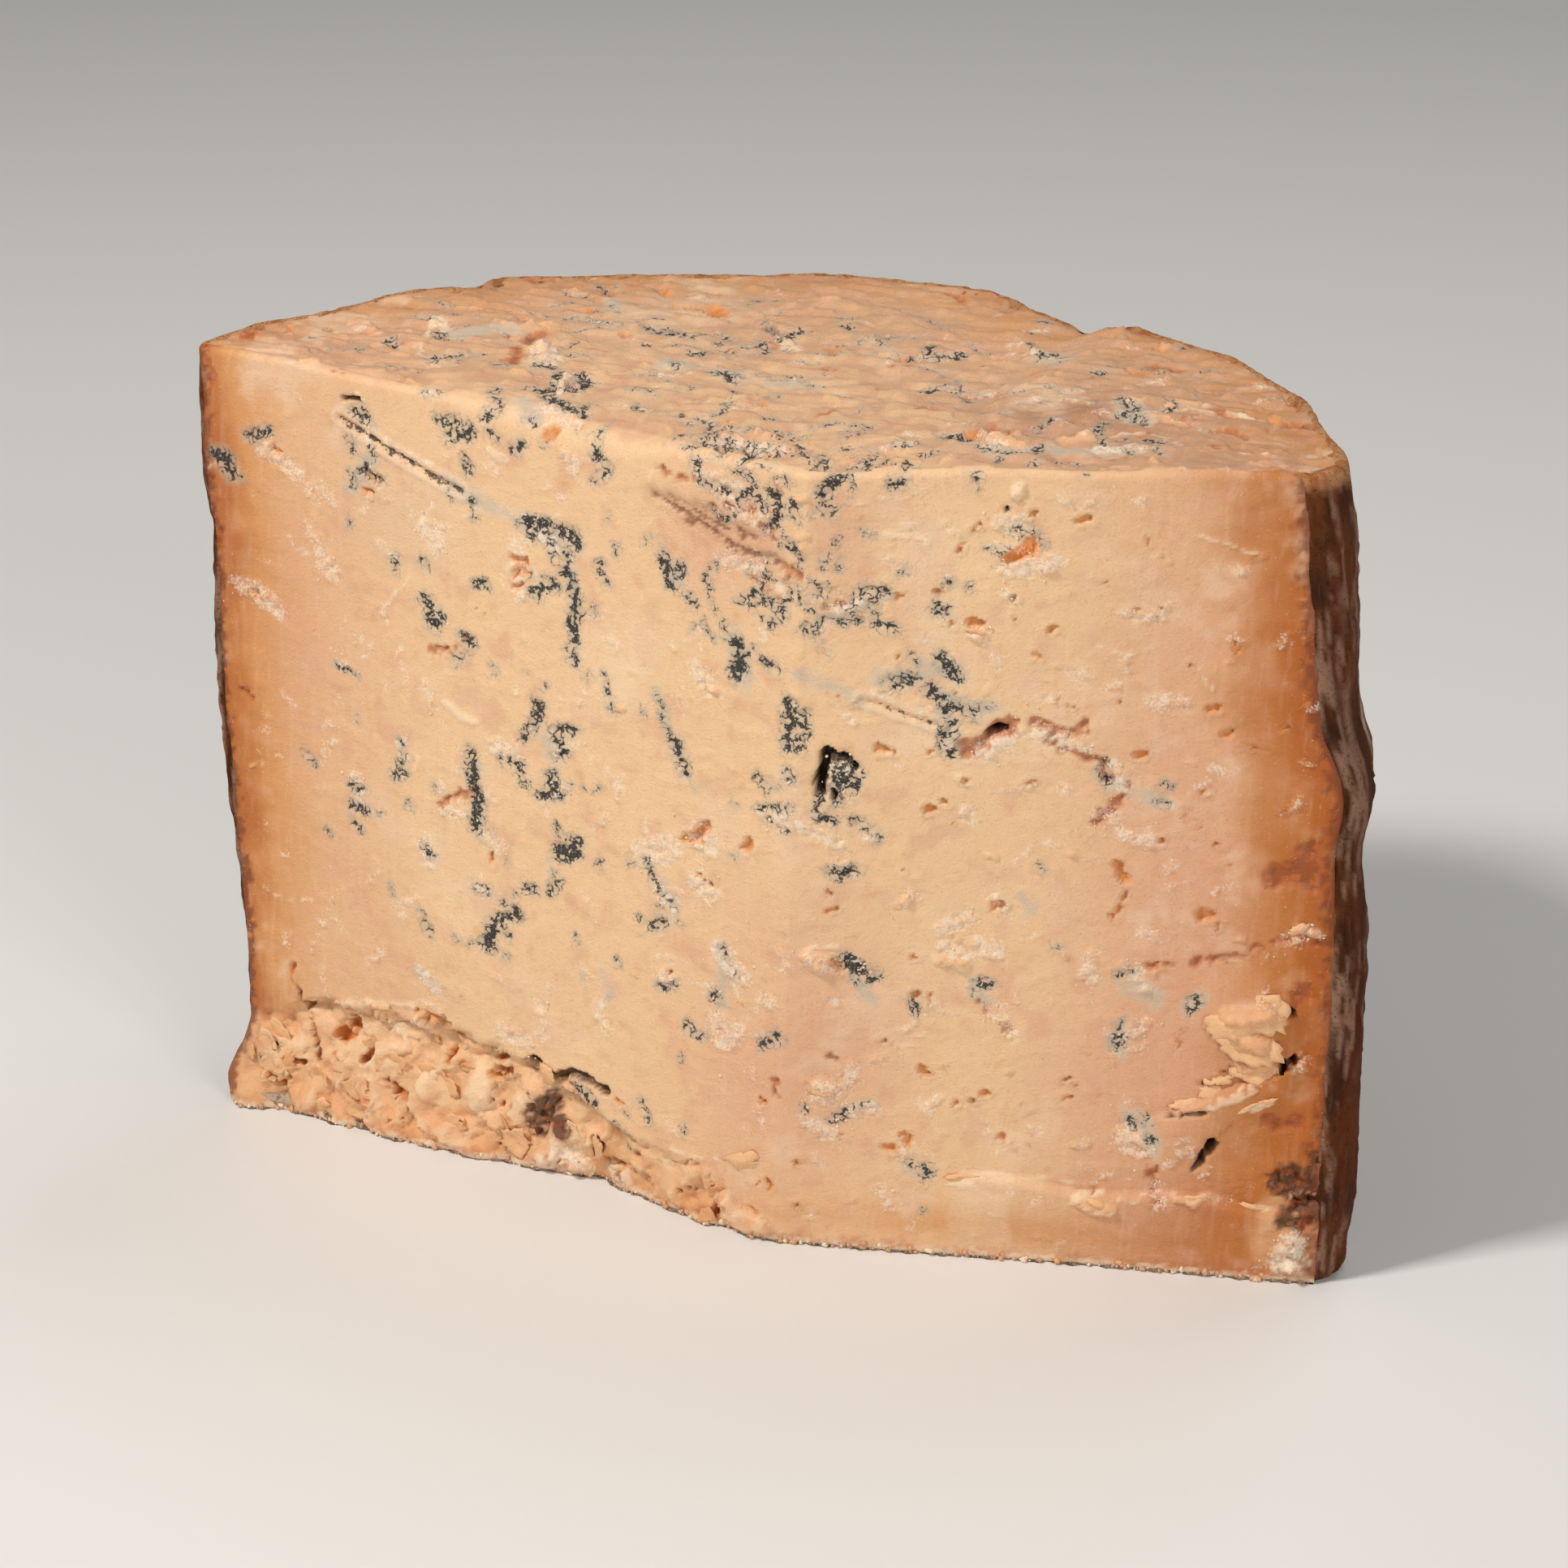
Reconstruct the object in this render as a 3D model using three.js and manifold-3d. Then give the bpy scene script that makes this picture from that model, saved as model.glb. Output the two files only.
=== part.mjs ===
// Blue cheese wedge: under half of a tall round cheese, standing on its base with two knife-cut faces in front.
import * as THREE from 'three';
import { mergeVertices } from 'three/addons/utils/BufferGeometryUtils.js';
import Module from 'manifold-3d';

// Driving sizes in millimetres and angles in degrees. Z is up and the base rests at zero.
// X and Y are measured from the axis of the whole cheese until the wedge is centred at the end.
const HEIGHT = 138.7;
const RIM_RADIUS = 100;
const RIND_BULGE_RIGHT = 8.2;
const RIND_TAPER_LEFT = 4.5;
const APEX_TOP = [20, 0];
const APEX_FOOT = [12.8, 2.8];
const LEFT_FACE_TOP_ANGLE = 169.5;
const LEFT_FACE_FOOT_ANGLE = 170.8;
const RIGHT_FACE_TOP_ANGLE = 15.6;
const RIGHT_FACE_FOOT_ANGLE = 11.6;
const RIGHT_CORNER_DEPTH = 6;
const RIGHT_CORNER_SPREAD = 5;
const LEFT_CORNER_DEPTH = 1;
const LEFT_CORNER_SPREAD = 1.5;
const EDGE_ROUND_TOP = 1.2;
const EDGE_ROUND_WORN = 2.6;
const EDGE_ROUND_FOOT = 2.2;
const TORN_BAND_RECESS = 2.6;
const TORN_BAND_BULGE = 4.4;
const FOOT_ROLL = 3.7;
const RIM_CHIP_DEPTH = 11;
const RIM_CHIP_START = 62.5;
const RIM_CHIP_END = 80;
const FLAKE_PATCH_LIFT = 1.8;
const LEDGE_LIFT = 1.6;
const RIDGE_LIFT = 1.3;
const TOP_UNDULATION = 0.4;

// How finely the skin is divided
const LEFT_CELLS = 26;
const RIGHT_CELLS = 18;
const RIND_CELLS = 38;
const BODY_ROWS = 22;
const CAP_RINGS = 6;
const CRAG_SIDES = 6;
const PIT_WIDTH = 3;

const radians = THREE.MathUtils.degToRad;
const degrees = THREE.MathUtils.radToDeg;
const mix = THREE.MathUtils.lerp;
const smooth = THREE.MathUtils.smoothstep;

function bump(value, centre, width) {
  return Math.exp(-(((value - centre) / width) ** 2));
}

// Height of a point as a share of the wedge's height, kept between 0 and 1
function rise(z) {
  return Math.min(Math.max(z / HEIGHT, 0), 1);
}

// The curved side: barrelled on the right, slightly tapered with a rolled foot on the left
function rindRadius(angle, z) {
  const right = RIM_RADIUS + 1 + RIND_BULGE_RIGHT * (1 - rise(z) ** 2.4) + 2.6 * bump(z, 87, 8) - 1.3 * bump(z, 0, 9);
  const left = RIM_RADIUS - RIND_TAPER_LEFT * (1 - rise(z)) ** 1.2 + 1.2 * bump(z, 120, 8) + FOOT_ROLL * bump(z, 4, 8);
  const wrinkle = 0.5 * Math.sin(radians(angle) * 23 + z * 0.05) + 0.4 * Math.sin(radians(angle) * 9 + z * 0.09);
  return mix(right, left, smooth(angle, 40, 140)) + wrinkle + rimShape(angle) * smooth(z, HEIGHT - 26, HEIGHT);
}

// The broken rim at the back: one chip with a steep side, one proud stretch and one small step
function rimShape(angle) {
  const along = (RIM_CHIP_END - angle) / (RIM_CHIP_END - RIM_CHIP_START);
  const chip = along > 0 && along < 1 ? RIM_CHIP_DEPTH * along * smooth(angle, RIM_CHIP_START, RIM_CHIP_START + 1) : 0;
  const proud = 2.2 * bump(angle, 90, 8);
  const step = 2.4 * bump(angle, 130, 3) - 2.6 * bump(angle, 134.5, 1.6);
  return proud + step - chip;
}

function apexAt(z) {
  return [mix(APEX_FOOT[0], APEX_TOP[0], rise(z)), mix(APEX_FOOT[1], APEX_TOP[1], rise(z))];
}

function faceAngle(side, z) {
  if (side === 'left') return mix(LEFT_FACE_FOOT_ANGLE, LEFT_FACE_TOP_ANGLE, rise(z));
  return mix(RIGHT_FACE_FOOT_ANGLE, RIGHT_FACE_TOP_ANGLE, rise(z));
}

function faceDirection(side, z) {
  const angle = radians(faceAngle(side, z));
  return [Math.cos(angle), Math.sin(angle)];
}

// Distance from the apex to where the face meets the rind
function faceLength(side, z) {
  const [ax, ay] = apexAt(z);
  const [dx, dy] = faceDirection(side, z);
  const corner = side === 'left' ? LEFT_CORNER_DEPTH : RIGHT_CORNER_DEPTH - 1.5 * (1 - rise(z));
  const radius = rindRadius(side === 'left' ? 167 : 13, z) - corner;
  const along = ax * dx + ay * dy;
  return -along + Math.sqrt(along * along - ax * ax - ay * ay + radius * radius);
}

// Upper limit of the torn band along the foot of the left face
function tornLimit(distance) {
  return 12 + 12.5 * smooth(distance, 18, 62) - 8 * smooth(distance, 88, 112) - 8 * (1 - smooth(distance, 2, 16));
}

// Form of the left face away from its plane: the torn band, a shallow hollow and soft waves
function leftRelief(distance, z) {
  const limit = tornLimit(distance);
  const under = smooth(limit - z, 0, 2.2);
  const downBand = Math.min(Math.max(1 - z / limit, 0), 1);
  const recess = TORN_BAND_RECESS * smooth(distance, 8, 40) * (1 - smooth(distance, 96, 108));
  const bulge = TORN_BAND_BULGE * downBand ** 1.2 * smooth(distance, 30, 75);
  const lumps = 0.7 * Math.sin(distance * 0.55) * Math.sin(z * 0.5 + distance * 0.13);
  const waves = 0.35 * Math.sin(distance * 0.07 + 0.6) * Math.cos(z * 0.045);
  const footDent = -1.6 * bump(distance, 37, 9) * (1 - smooth(z, 0, 12));
  return waves + under * (bulge + lumps - recess) + footDent;
}

// Form of the right face: the raised flake patch, the broken ledge under it and the low ridge near the foot
function rightRelief(distance, z) {
  const patch = smooth(10.5 - Math.hypot((distance - 75) * 0.95, z - 46.5), 0, 1.6);
  const ledgeLine = 29.5 + 0.52 * (distance - 62);
  const ledge = smooth(ledgeLine - z, 0, 1.2) * (1 - smooth(ledgeLine - z, 2, 16)) * smooth(distance, 60, 66);
  const ridgeLine = 16.5 - 0.03 * distance + 0.8 * Math.sin(distance * 0.21);
  const ridge = smooth(ridgeLine - z, -0.4, 1.1) * (1 - smooth(ridgeLine - z, 3, 15)) * smooth(distance, 24, 40);
  const waves = 0.3 * Math.sin(distance * 0.09) * Math.cos(z * 0.06 + 0.8);
  return waves + FLAKE_PATCH_LIFT * patch + LEDGE_LIFT * ledge + RIDGE_LIFT * ridge;
}

// Height of the top cut at a place: it dips a little towards the front and rolls in low waves
function topHeight(x, y) {
  const waves = Math.sin(x * 0.06 + 1) * Math.cos(y * 0.075) + 0.5 * Math.sin(x * 0.16 + y * 0.11);
  const apexDip = 1.8 * bump(x, 18, 26) * bump(y, 0, 16);
  const wornDip = 1.4 * bump(x, -22, 22) * bump(y, 2, 12);
  return HEIGHT + 0.008 * Math.abs(x) + TOP_UNDULATION * waves - apexDip - wornDip;
}

// One place on the outline at a height, before the edges are rounded: position and outward direction
function outlinePoint(station, z) {
  if (station.part === 'rind') return rindPoint(station.share, z);
  const [ax, ay] = apexAt(z);
  const [dx, dy] = faceDirection(station.part, z);
  const distance = station.share * faceLength(station.part, z);
  const relief = station.part === 'left' ? leftRelief(distance, z) : rightRelief(distance, z);
  const [nx, ny] = station.part === 'left' ? [-dy, dx] : [dy, -dx];
  const fade = smooth(distance, 0, 5);
  return { x: ax + dx * distance + nx * relief * fade, y: ay + dy * distance + ny * relief * fade, nx, ny };
}

function endAngle(side, z) {
  const [ax, ay] = apexAt(z);
  const [dx, dy] = faceDirection(side, z);
  const length = faceLength(side, z);
  return degrees(Math.atan2(ay + dy * length, ax + dx * length));
}

function rindPoint(share, z) {
  const start = endAngle('right', z);
  const end = endAngle('left', z);
  const angle = mix(start, end, share);
  const rightGap = Math.min((angle - start) / RIGHT_CORNER_SPREAD, 1);
  const leftGap = Math.min((end - angle) / LEFT_CORNER_SPREAD, 1);
  const rightCut = (RIGHT_CORNER_DEPTH - 1.5 * (1 - rise(z))) * (1 - Math.sqrt(1 - (1 - rightGap) ** 2));
  const leftCut = LEFT_CORNER_DEPTH * (1 - Math.sqrt(1 - (1 - leftGap) ** 2));
  const radius = rindRadius(angle, z) - rightCut - leftCut;
  const nx = Math.cos(radians(angle));
  const ny = Math.sin(radians(angle));
  return { x: radius * nx, y: radius * ny, nx, ny };
}

// Shares of the arc for the rind's stations, closer together at the rounded right corner
function rindShares() {
  const corner = [0.004, 0.01, 0.018, 0.028];
  const rest = [];
  for (let i = 0; i <= RIND_CELLS; i += 1) rest.push(mix(0.04, 0.99, i / RIND_CELLS));
  return [0, ...corner, ...rest];
}

// Stations once round the outline, anticlockwise from above: left face, right face, then the rind
function outlineStations() {
  const stations = [];
  for (let i = 0; i < LEFT_CELLS; i += 1) stations.push({ part: 'left', share: 1 - i / LEFT_CELLS });
  for (let i = 0; i < RIGHT_CELLS; i += 1) stations.push({ part: 'right', share: i / RIGHT_CELLS });
  for (const share of rindShares()) stations.push({ part: 'rind', share });
  return stations;
}

// Rounding of an edge: how far in and how far up or down at a share of the quarter turn
function edgeRound(radius, share) {
  const turn = share * Math.PI / 2;
  return { inset: radius * (1 - Math.cos(turn)), offset: radius * (1 - Math.sin(turn)) };
}

function topEdgeRadius(point, station) {
  const worn = station.part === 'left' ? bump(point.x, -22, 24) : 0;
  return EDGE_ROUND_TOP + EDGE_ROUND_WORN * worn;
}

// Heights and insets of one column of the side, from the base to the top
function columnPoints(station) {
  const rimPoint = outlinePoint(station, HEIGHT);
  const topRadius = topEdgeRadius(rimPoint, station);
  const top = topHeight(rimPoint.x, rimPoint.y);
  const points = [];
  for (const share of [1, 0.6, 0.25]) {
    const { inset, offset } = edgeRound(EDGE_ROUND_FOOT, share);
    points.push(placePoint(station, offset, inset, 0));
  }
  for (let row = 0; row <= BODY_ROWS; row += 1) {
    const z = mix(EDGE_ROUND_FOOT, top - topRadius, row / BODY_ROWS);
    points.push(placePoint(station, z, 0, z));
  }
  for (const share of [0.35, 0.7, 1]) {
    const { inset, offset } = edgeRound(topRadius, share);
    points.push(placePoint(station, top - offset, inset, top));
  }
  return points;
}

function placePoint(station, z, inset, shapeHeight) {
  const point = outlinePoint(station, shapeHeight || z);
  return new THREE.Vector3(point.x - point.nx * inset, point.y - point.ny * inset, z);
}

// Rings that close the base and the top towards a point inside the outline
function capRings(outline, heightAt, rings) {
  const centre = [0, 46];
  const result = [];
  for (let ring = 1; ring < rings; ring += 1) {
    const share = 1 - ring / rings;
    result.push(outline.map((point) => {
      const x = mix(centre[0], point.x, share);
      const y = mix(centre[1], point.y, share);
      return new THREE.Vector3(x, y, heightAt(x, y, point, share));
    }));
  }
  const peak = heightAt(centre[0], centre[1], outline[0], 0);
  return { result, middle: new THREE.Vector3(centre[0], centre[1], peak) };
}

function stitch(indices, lower, upper, count) {
  for (let i = 0; i < count; i += 1) {
    const next = (i + 1) % count;
    indices.push(lower + i, lower + next, upper + next);
    indices.push(lower + i, upper + next, upper + i);
  }
}

// The whole wedge as one closed skin
function wedgeSkin() {
  const columns = outlineStations().map(columnPoints);
  const count = columns.length;
  const rows = columns[0].length;
  const loops = [];
  for (let row = 0; row < rows; row += 1) loops.push(columns.map((column) => column[row]));
  const flat = capRings(loops[0], () => 0, 3);
  const top = capRings(loops[rows - 1], (x, y, edge, share) => {
    return mix(topHeight(x, y), edge.z, share ** 12);
  }, CAP_RINGS);
  const ordered = [...flat.result.reverse(), ...loops, ...top.result];
  const positions = [];
  const indices = [];
  for (const loop of ordered) {
    for (const point of loop) positions.push(point.x, point.y, point.z);
  }
  for (let i = 0; i + 1 < ordered.length; i += 1) stitch(indices, i * count, (i + 1) * count, count);
  const baseMiddle = positions.length / 3;
  positions.push(...flat.middle, ...top.middle);
  for (let i = 0; i < count; i += 1) {
    const next = (i + 1) % count;
    const last = (ordered.length - 1) * count;
    indices.push(baseMiddle, next, i);
    indices.push(baseMiddle + 1, last + i, last + next);
  }
  const geometry = new THREE.BufferGeometry();
  geometry.setAttribute('position', new THREE.Float32BufferAttribute(positions, 3));
  geometry.setIndex(indices);
  return geometry;
}

// Seeded random numbers for the rough shapes
function seededRandom(seed) {
  let state = seed;
  return () => {
    state = (state * 1664525 + 1013904223) % 4294967296;
    return state / 4294967296;
  };
}

const random = seededRandom(71);

// Rings between the two points of a rough shape, as shares of its half width and of its depth
const CRACK_RINGS = [[1, 0.15]];
const PIT_RINGS = [[1, 0.2], [0.78, -0.55]];
const LUMP_RINGS = [[1, -0.3], [0.72, 0.75]];

// A craggy shape with few sides, used both to cut holes and to add crumbs: its corners are pushed about
function cragShape(rings, roughness) {
  const positions = [0, 0, 1];
  for (const [radius, height] of [...rings].sort((a, b) => b[1] - a[1])) {
    for (let side = 0; side < CRAG_SIDES; side += 1) {
      const angle = (side + 0.6 * (random() - 0.5)) * 2 * Math.PI / CRAG_SIDES;
      const reach = radius * (1 + roughness * (random() - 0.5));
      positions.push(reach * Math.cos(angle), reach * Math.sin(angle), height);
    }
  }
  positions.push(0, 0, -1);
  const geometry = new THREE.BufferGeometry();
  geometry.setAttribute('position', new THREE.Float32BufferAttribute(positions, 3));
  geometry.setIndex(cragFaces(rings.length));
  return geometry;
}

function cragFaces(ringCount) {
  const faces = [];
  const last = 1 + ringCount * CRAG_SIDES;
  for (let side = 0; side < CRAG_SIDES; side += 1) {
    const next = (side + 1) % CRAG_SIDES;
    faces.push(0, 1 + side, 1 + next);
    faces.push(last, last - CRAG_SIDES + next, last - CRAG_SIDES + side);
  }
  for (let ring = 0; ring + 1 < ringCount; ring += 1) {
    stitch(faces, 1 + (ring + 1) * CRAG_SIDES, 1 + ring * CRAG_SIDES, CRAG_SIDES);
  }
  return faces;
}

// Matrix that puts a shape on a cut face or on the top: x runs along it, y up it and z out of it
function surfaceMatrix(place) {
  const { on, at, tilt = 0 } = place;
  const spin = new THREE.Matrix4().makeRotationZ(radians(tilt));
  if (on === 'top') {
    const lift = new THREE.Matrix4().makeTranslation(at[0], at[1], topHeight(at[0], at[1]));
    return lift.multiply(spin);
  }
  const [ax, ay] = apexAt(at[1]);
  const [dx, dy] = faceDirection(on, at[1]);
  const [nx, ny] = on === 'left' ? [-dy, dx] : [dy, -dx];
  const relief = on === 'left' ? leftRelief(at[0], at[1]) : rightRelief(at[0], at[1]);
  const along = on === 'left' ? [-dx, -dy] : [dx, dy];
  const frame = new THREE.Matrix4().makeBasis(
    new THREE.Vector3(along[0], along[1], 0),
    new THREE.Vector3(0, 0, 1),
    new THREE.Vector3(nx, ny, 0),
  );
  frame.setPosition(ax + dx * at[0] + nx * relief, ay + dy * at[0] + ny * relief, at[1]);
  return frame.multiply(spin);
}

// Length and width are the full size on the surface; depth is how far it goes in, or stands out
function cragAt(place) {
  const [length, width, depth] = place.size;
  const shape = cragShape(place.rings, place.roughness ?? 0.45);
  shape.scale(length / 2, width / 2, depth);
  shape.applyMatrix4(surfaceMatrix(place));
  return shape;
}

// Holes and cracks: distance from the apex and height on a face, or x and y on the top
const LEFT_CUTS = [
  { at: [86, 130.4], size: [9, 1.8, 1.6], tilt: -22 },
  { at: [79, 127.6], size: [9, 2, 2], tilt: -20 },
  { at: [71.5, 125], size: [9, 2.4, 2.2], tilt: -20 },
  { at: [66, 123.5], size: [5, 2.2, 1.6], tilt: -14 },
  { at: [83.5, 122.6], size: [4.5, 1.6, 1.4], tilt: 8 },
  { at: [84, 134.2], size: [4.5, 1.4, 1.4], tilt: -20 },
  { at: [66, 133], size: [5, 2.4, 1.5], tilt: -24 },
  { at: [25, 127.2], size: [10, 1.8, 1.6], tilt: -14 },
  { at: [16, 124.6], size: [11, 2.2, 2], tilt: -16 },
  { at: [8, 122.8], size: [7, 1.8, 1.4], tilt: -6 },
  { at: [13, 130.5], size: [8, 3, 2], tilt: 4 },
  { at: [48, 119], size: [4, 4, 1.2], tilt: 0 },
  { at: [42.5, 113], size: [4, 5, 1.2], tilt: 20 },
  { at: [42, 104], size: [2.2, 10, 1.2], tilt: 4 },
  { at: [53, 113], size: [3, 1.4, 1.6], tilt: 10 },
  { at: [53, 110.8], size: [3, 1.2, 1.4], tilt: 10 },
  { at: [70.5, 100.8], size: [3, 4, 1.2], tilt: 24 },
  { at: [65, 94.8], size: [7, 1.2, 1.4], tilt: 12 },
  { at: [44, 84.5], size: [5, 5, 2], tilt: 10 },
  { at: [42.5, 81], size: [4, 3, 1.6], tilt: -20 },
  { at: [21, 84.5], size: [2.4, 7, 1.2], tilt: 24 },
  { at: [65.3, 69], size: [8, 1.6, 1.8], tilt: 24 },
  { at: [60, 67], size: [2.4, 9, 1.4], tilt: -8 },
  { at: [55, 47], size: [9, 2.4, 1.3], tilt: 48 },
  { at: [86, 65.5], size: [4, 2.4, 1.4], tilt: 6 },
  { at: [26, 63], size: [2, 6, 1.4], tilt: 18 },
  { at: [18.5, 72], size: [5, 1.8, 2], tilt: 28 },
  { at: [8.5, 71.5], size: [2, 2.4, 1.8], tilt: 0 },
  { at: [2.5, 37.5], size: [5, 1.6, 1.8], tilt: 28 },
  { at: [99.2, 26], size: [1.4, 6, 2], tilt: 10 },
  { at: [97, 22], size: [1.8, 5, 3], tilt: 8 },
  { at: [94.7, 14], size: [2, 8, 3], tilt: 10 },
  { at: [87.4, 17.6], size: [2.6, 6.5, 3], tilt: -42 },
  { at: [83, 14.4], size: [2, 4, 2], tilt: -26 },
  { at: [98.5, 9.4], size: [5, 1.6, 2], tilt: 8 },
  { at: [75, 9.2], size: [6, 1.6, 2], tilt: -14 },
  { at: [70, 24.6], size: [12, 1.6, 1.6], tilt: -4 },
  { at: [47, 20.8], size: [7, 3.4, 3.6], tilt: -10 },
  { at: [37.5, 20.6], size: [10, 2.6, 3], tilt: -8 },
  { at: [56, 17], size: [8, 2, 2], tilt: 26 },
  { at: [29, 14.6], size: [6, 1.4, 1.6], tilt: -24 },
  { at: [46, 11], size: [8, 8, 1], tilt: 30, roughness: 0.9 },
  { at: [34, 0.8], size: [4, 2.4, 4], tilt: 0 },
  { at: [117, 136], size: [3.4, 3, 1.8], tilt: 40 },
  { at: [113.5, 120.4], size: [3, 4, 1.4], tilt: 20 },
  { at: [107, 97], size: [3.4, 2, 1.4], tilt: -10 },
];

const RIGHT_CUTS = [
  { at: [14, 98.6], size: [10, 1.6, 1.6], tilt: -16 },
  { at: [20, 96.8], size: [7, 1.4, 1.5], tilt: -10 },
  { at: [23.8, 97], size: [3, 9, 1.7], tilt: 8 },
  { at: [25.5, 98.8], size: [7, 1.2, 1.2], tilt: 4 },
  { at: [6.3, 87], size: [6.5, 8, 4.5], tilt: 4, roughness: 0.6 },
  { at: [9.6, 85], size: [4, 7, 2.4], tilt: -8 },
  { at: [6, 77], size: [10, 2.6, 2.6], tilt: -26 },
  { at: [8.5, 70.2], size: [5, 2.2, 1.6], tilt: 22 },
  { at: [16, 103.8], size: [4.4, 2.4, 1.6], tilt: 28 },
  { at: [23, 106], size: [3.6, 2, 1.3], tilt: -36 },
  { at: [9.5, 117], size: [3, 3, 1.4], tilt: 10 },
  { at: [6, 113.2], size: [8, 1.4, 1.4], tilt: 0 },
  { at: [3, 135], size: [3.6, 2, 1.6], tilt: 40 },
  { at: [33, 126], size: [6.4, 3.6, 2.2], tilt: 20 },
  { at: [27.5, 131.6], size: [6, 1.1, 1.1], tilt: -20 },
  { at: [41.5, 131], size: [5, 1.2, 1.2], tilt: 10 },
  { at: [26.8, 113.4], size: [3, 1.4, 1.6], tilt: -20 },
  { at: [51, 116.5], size: [7, 1, 1.4], tilt: 0 },
  { at: [64.7, 100.7], size: [2.2, 1.6, 1.8], tilt: 0 },
  { at: [73.2, 94.3], size: [3.8, 1.2, 1.4], tilt: -8 },
  { at: [30.5, 93.8], size: [9, 2.2, 2.6], tilt: 38 },
  { at: [40, 94.6], size: [8, 1.6, 1.8], tilt: -24 },
  { at: [48.5, 89.5], size: [2.2, 6, 1.8], tilt: 10 },
  { at: [50.6, 83], size: [1.8, 5, 1.6], tilt: -24 },
  { at: [53, 72], size: [2.4, 3.6, 1.8], tilt: 30 },
  { at: [80, 72.6], size: [8, 5.4, 1.5], tilt: -16, roughness: 0.7 },
  { at: [55.5, 55], size: [5, 1.6, 1.4], tilt: 20 },
  { at: [62.5, 56.6], size: [6, 1.2, 1.4], tilt: 12 },
  { at: [71, 59], size: [8, 1.2, 1.6], tilt: 12 },
  { at: [83, 63], size: [6, 2.4, 1.5], tilt: 10 },
  { at: [83, 52.4], size: [3, 2, 1.4], tilt: 0 },
  { at: [66.5, 50.4], size: [3.2, 3, 1.1], tilt: 0 },
  { at: [54.8, 42.4], size: [2.4, 4, 1.2], tilt: 0 },
  { at: [71, 37], size: [5, 1.6, 2], tilt: 26 },
  { at: [67, 30.8], size: [10, 1.4, 2.2], tilt: 14 },
  { at: [78, 38.4], size: [6, 1.4, 1.8], tilt: 32 },
  { at: [70, 23], size: [1.3, 5.6, 2.6], tilt: -32 },
  { at: [52.5, 13], size: [6, 2.4, 1.8], tilt: -30 },
  { at: [12, 26.2], size: [6, 2, 1.4], tilt: 30 },
  { at: [12, 52.4], size: [5, 3, 1.3], tilt: -24 },
  { at: [21.2, 46.8], size: [1.8, 3.6, 1.3], tilt: -10 },
  { at: [25.2, 15], size: [2, 4, 1.4], tilt: 6 },
  { at: [86, 17], size: [6, 4.6, 2.6], tilt: 14, roughness: 0.7 },
  { at: [84.5, 29], size: [5, 2, 1.6], tilt: -20 },
];

const TOP_CUTS = [
  { at: [-45.5, 41], size: [3, 14, 2], tilt: 10 },
  { at: [-33, 25], size: [3, 9, 1.6], tilt: 24 },
  { at: [-29, 25], size: [2, 8, 1.6], tilt: -6 },
  { at: [-9, 66], size: [5, 5, 1.8], tilt: 30 },
  { at: [-25, 73], size: [7, 3, 1.4], tilt: 0 },
  { at: [-45, 76], size: [3, 4, 1.4], tilt: 0 },
  { at: [16, 57.5], size: [4, 3.4, 1.6], tilt: 10 },
  { at: [38, 21], size: [3, 7, 2], tilt: 16 },
  { at: [46, 16.6], size: [8, 2, 1.4], tilt: -12 },
  { at: [54, 24.5], size: [8, 1.6, 1.6], tilt: 26 },
  { at: [57.5, 29], size: [1.6, 6, 1.4], tilt: 6 },
  { at: [34, 42.5], size: [7, 1.8, 1.4], tilt: 26 },
  { at: [61, 40], size: [3, 7, 1.2], tilt: 10 },
  { at: [76, 37], size: [5, 1.6, 1.4], tilt: -24 },
  { at: [-2, 18], size: [8, 2, 1.4], tilt: -30 },
  { at: [11, 8], size: [7, 4, 1.8], tilt: 20 },
  { at: [14, 22], size: [6, 4, 1.4], tilt: -30 },
];

// Lumps, flakes and curls that stand proud of the surface
const LEFT_LUMPS = [
  { at: [75, 128.3], size: [13, 1.6, 0.9], tilt: -20 },
  { at: [50.5, 117], size: [4, 2.2, 0.9], tilt: -10 },
  { at: [82, 7], size: [10, 6, 1.5], tilt: 20 },
  { at: [66, 9], size: [10, 5, 1.4], tilt: -30 },
  { at: [92, 7], size: [7, 5, 1.5], tilt: 10 },
  { at: [55, 7.4], size: [9, 5, 1.5], tilt: 24 },
  { at: [37, 8], size: [3, 7, 1.4], tilt: -14 },
  { at: [103, 8], size: [8, 5, 1.4], tilt: 0 },
  { at: [64, 15.5], size: [9, 4, 1.3], tilt: -20 },
  { at: [90, 19.6], size: [5, 4, 1.4], tilt: 30 },
  { at: [42, 5.4], size: [8, 4, 1.6], tilt: 0 },
  { at: [26, 59], size: [4, 2, 0.9], tilt: 0 },
];

const RIGHT_LUMPS = [
  { at: [7.3, 86.6], size: [4, 6, 2.2], tilt: 0 },
  { at: [27.4, 112.2], size: [3.4, 1.6, 1.1], tilt: -10 },
  { at: [33, 91.4], size: [7, 1.8, 1.2], tilt: 34 },
  { at: [72, 47.5], size: [6, 3.4, 1.5], tilt: 10 },
  { at: [78.5, 50], size: [6, 4, 1.6], tilt: -10 },
  { at: [76, 43], size: [9, 3, 1.7], tilt: -16 },
  { at: [75, 37.8], size: [8, 3.4, 1.6], tilt: 16 },
  { at: [70, 33.4], size: [6, 2.4, 1.5], tilt: 8 },
  { at: [53, 11.6], size: [6, 2.2, 1.7], tilt: -16 },
  { at: [58, 26], size: [5, 3, 1], tilt: 10 },
  { at: [85.5, 6.5], size: [6, 9, 2.2], tilt: 10 },
  { at: [31, 15.6], size: [6, 2.4, 1.1], tilt: 4 },
  { at: [19, 65.5], size: [3, 3, 0.9], tilt: 0 },
];

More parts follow.
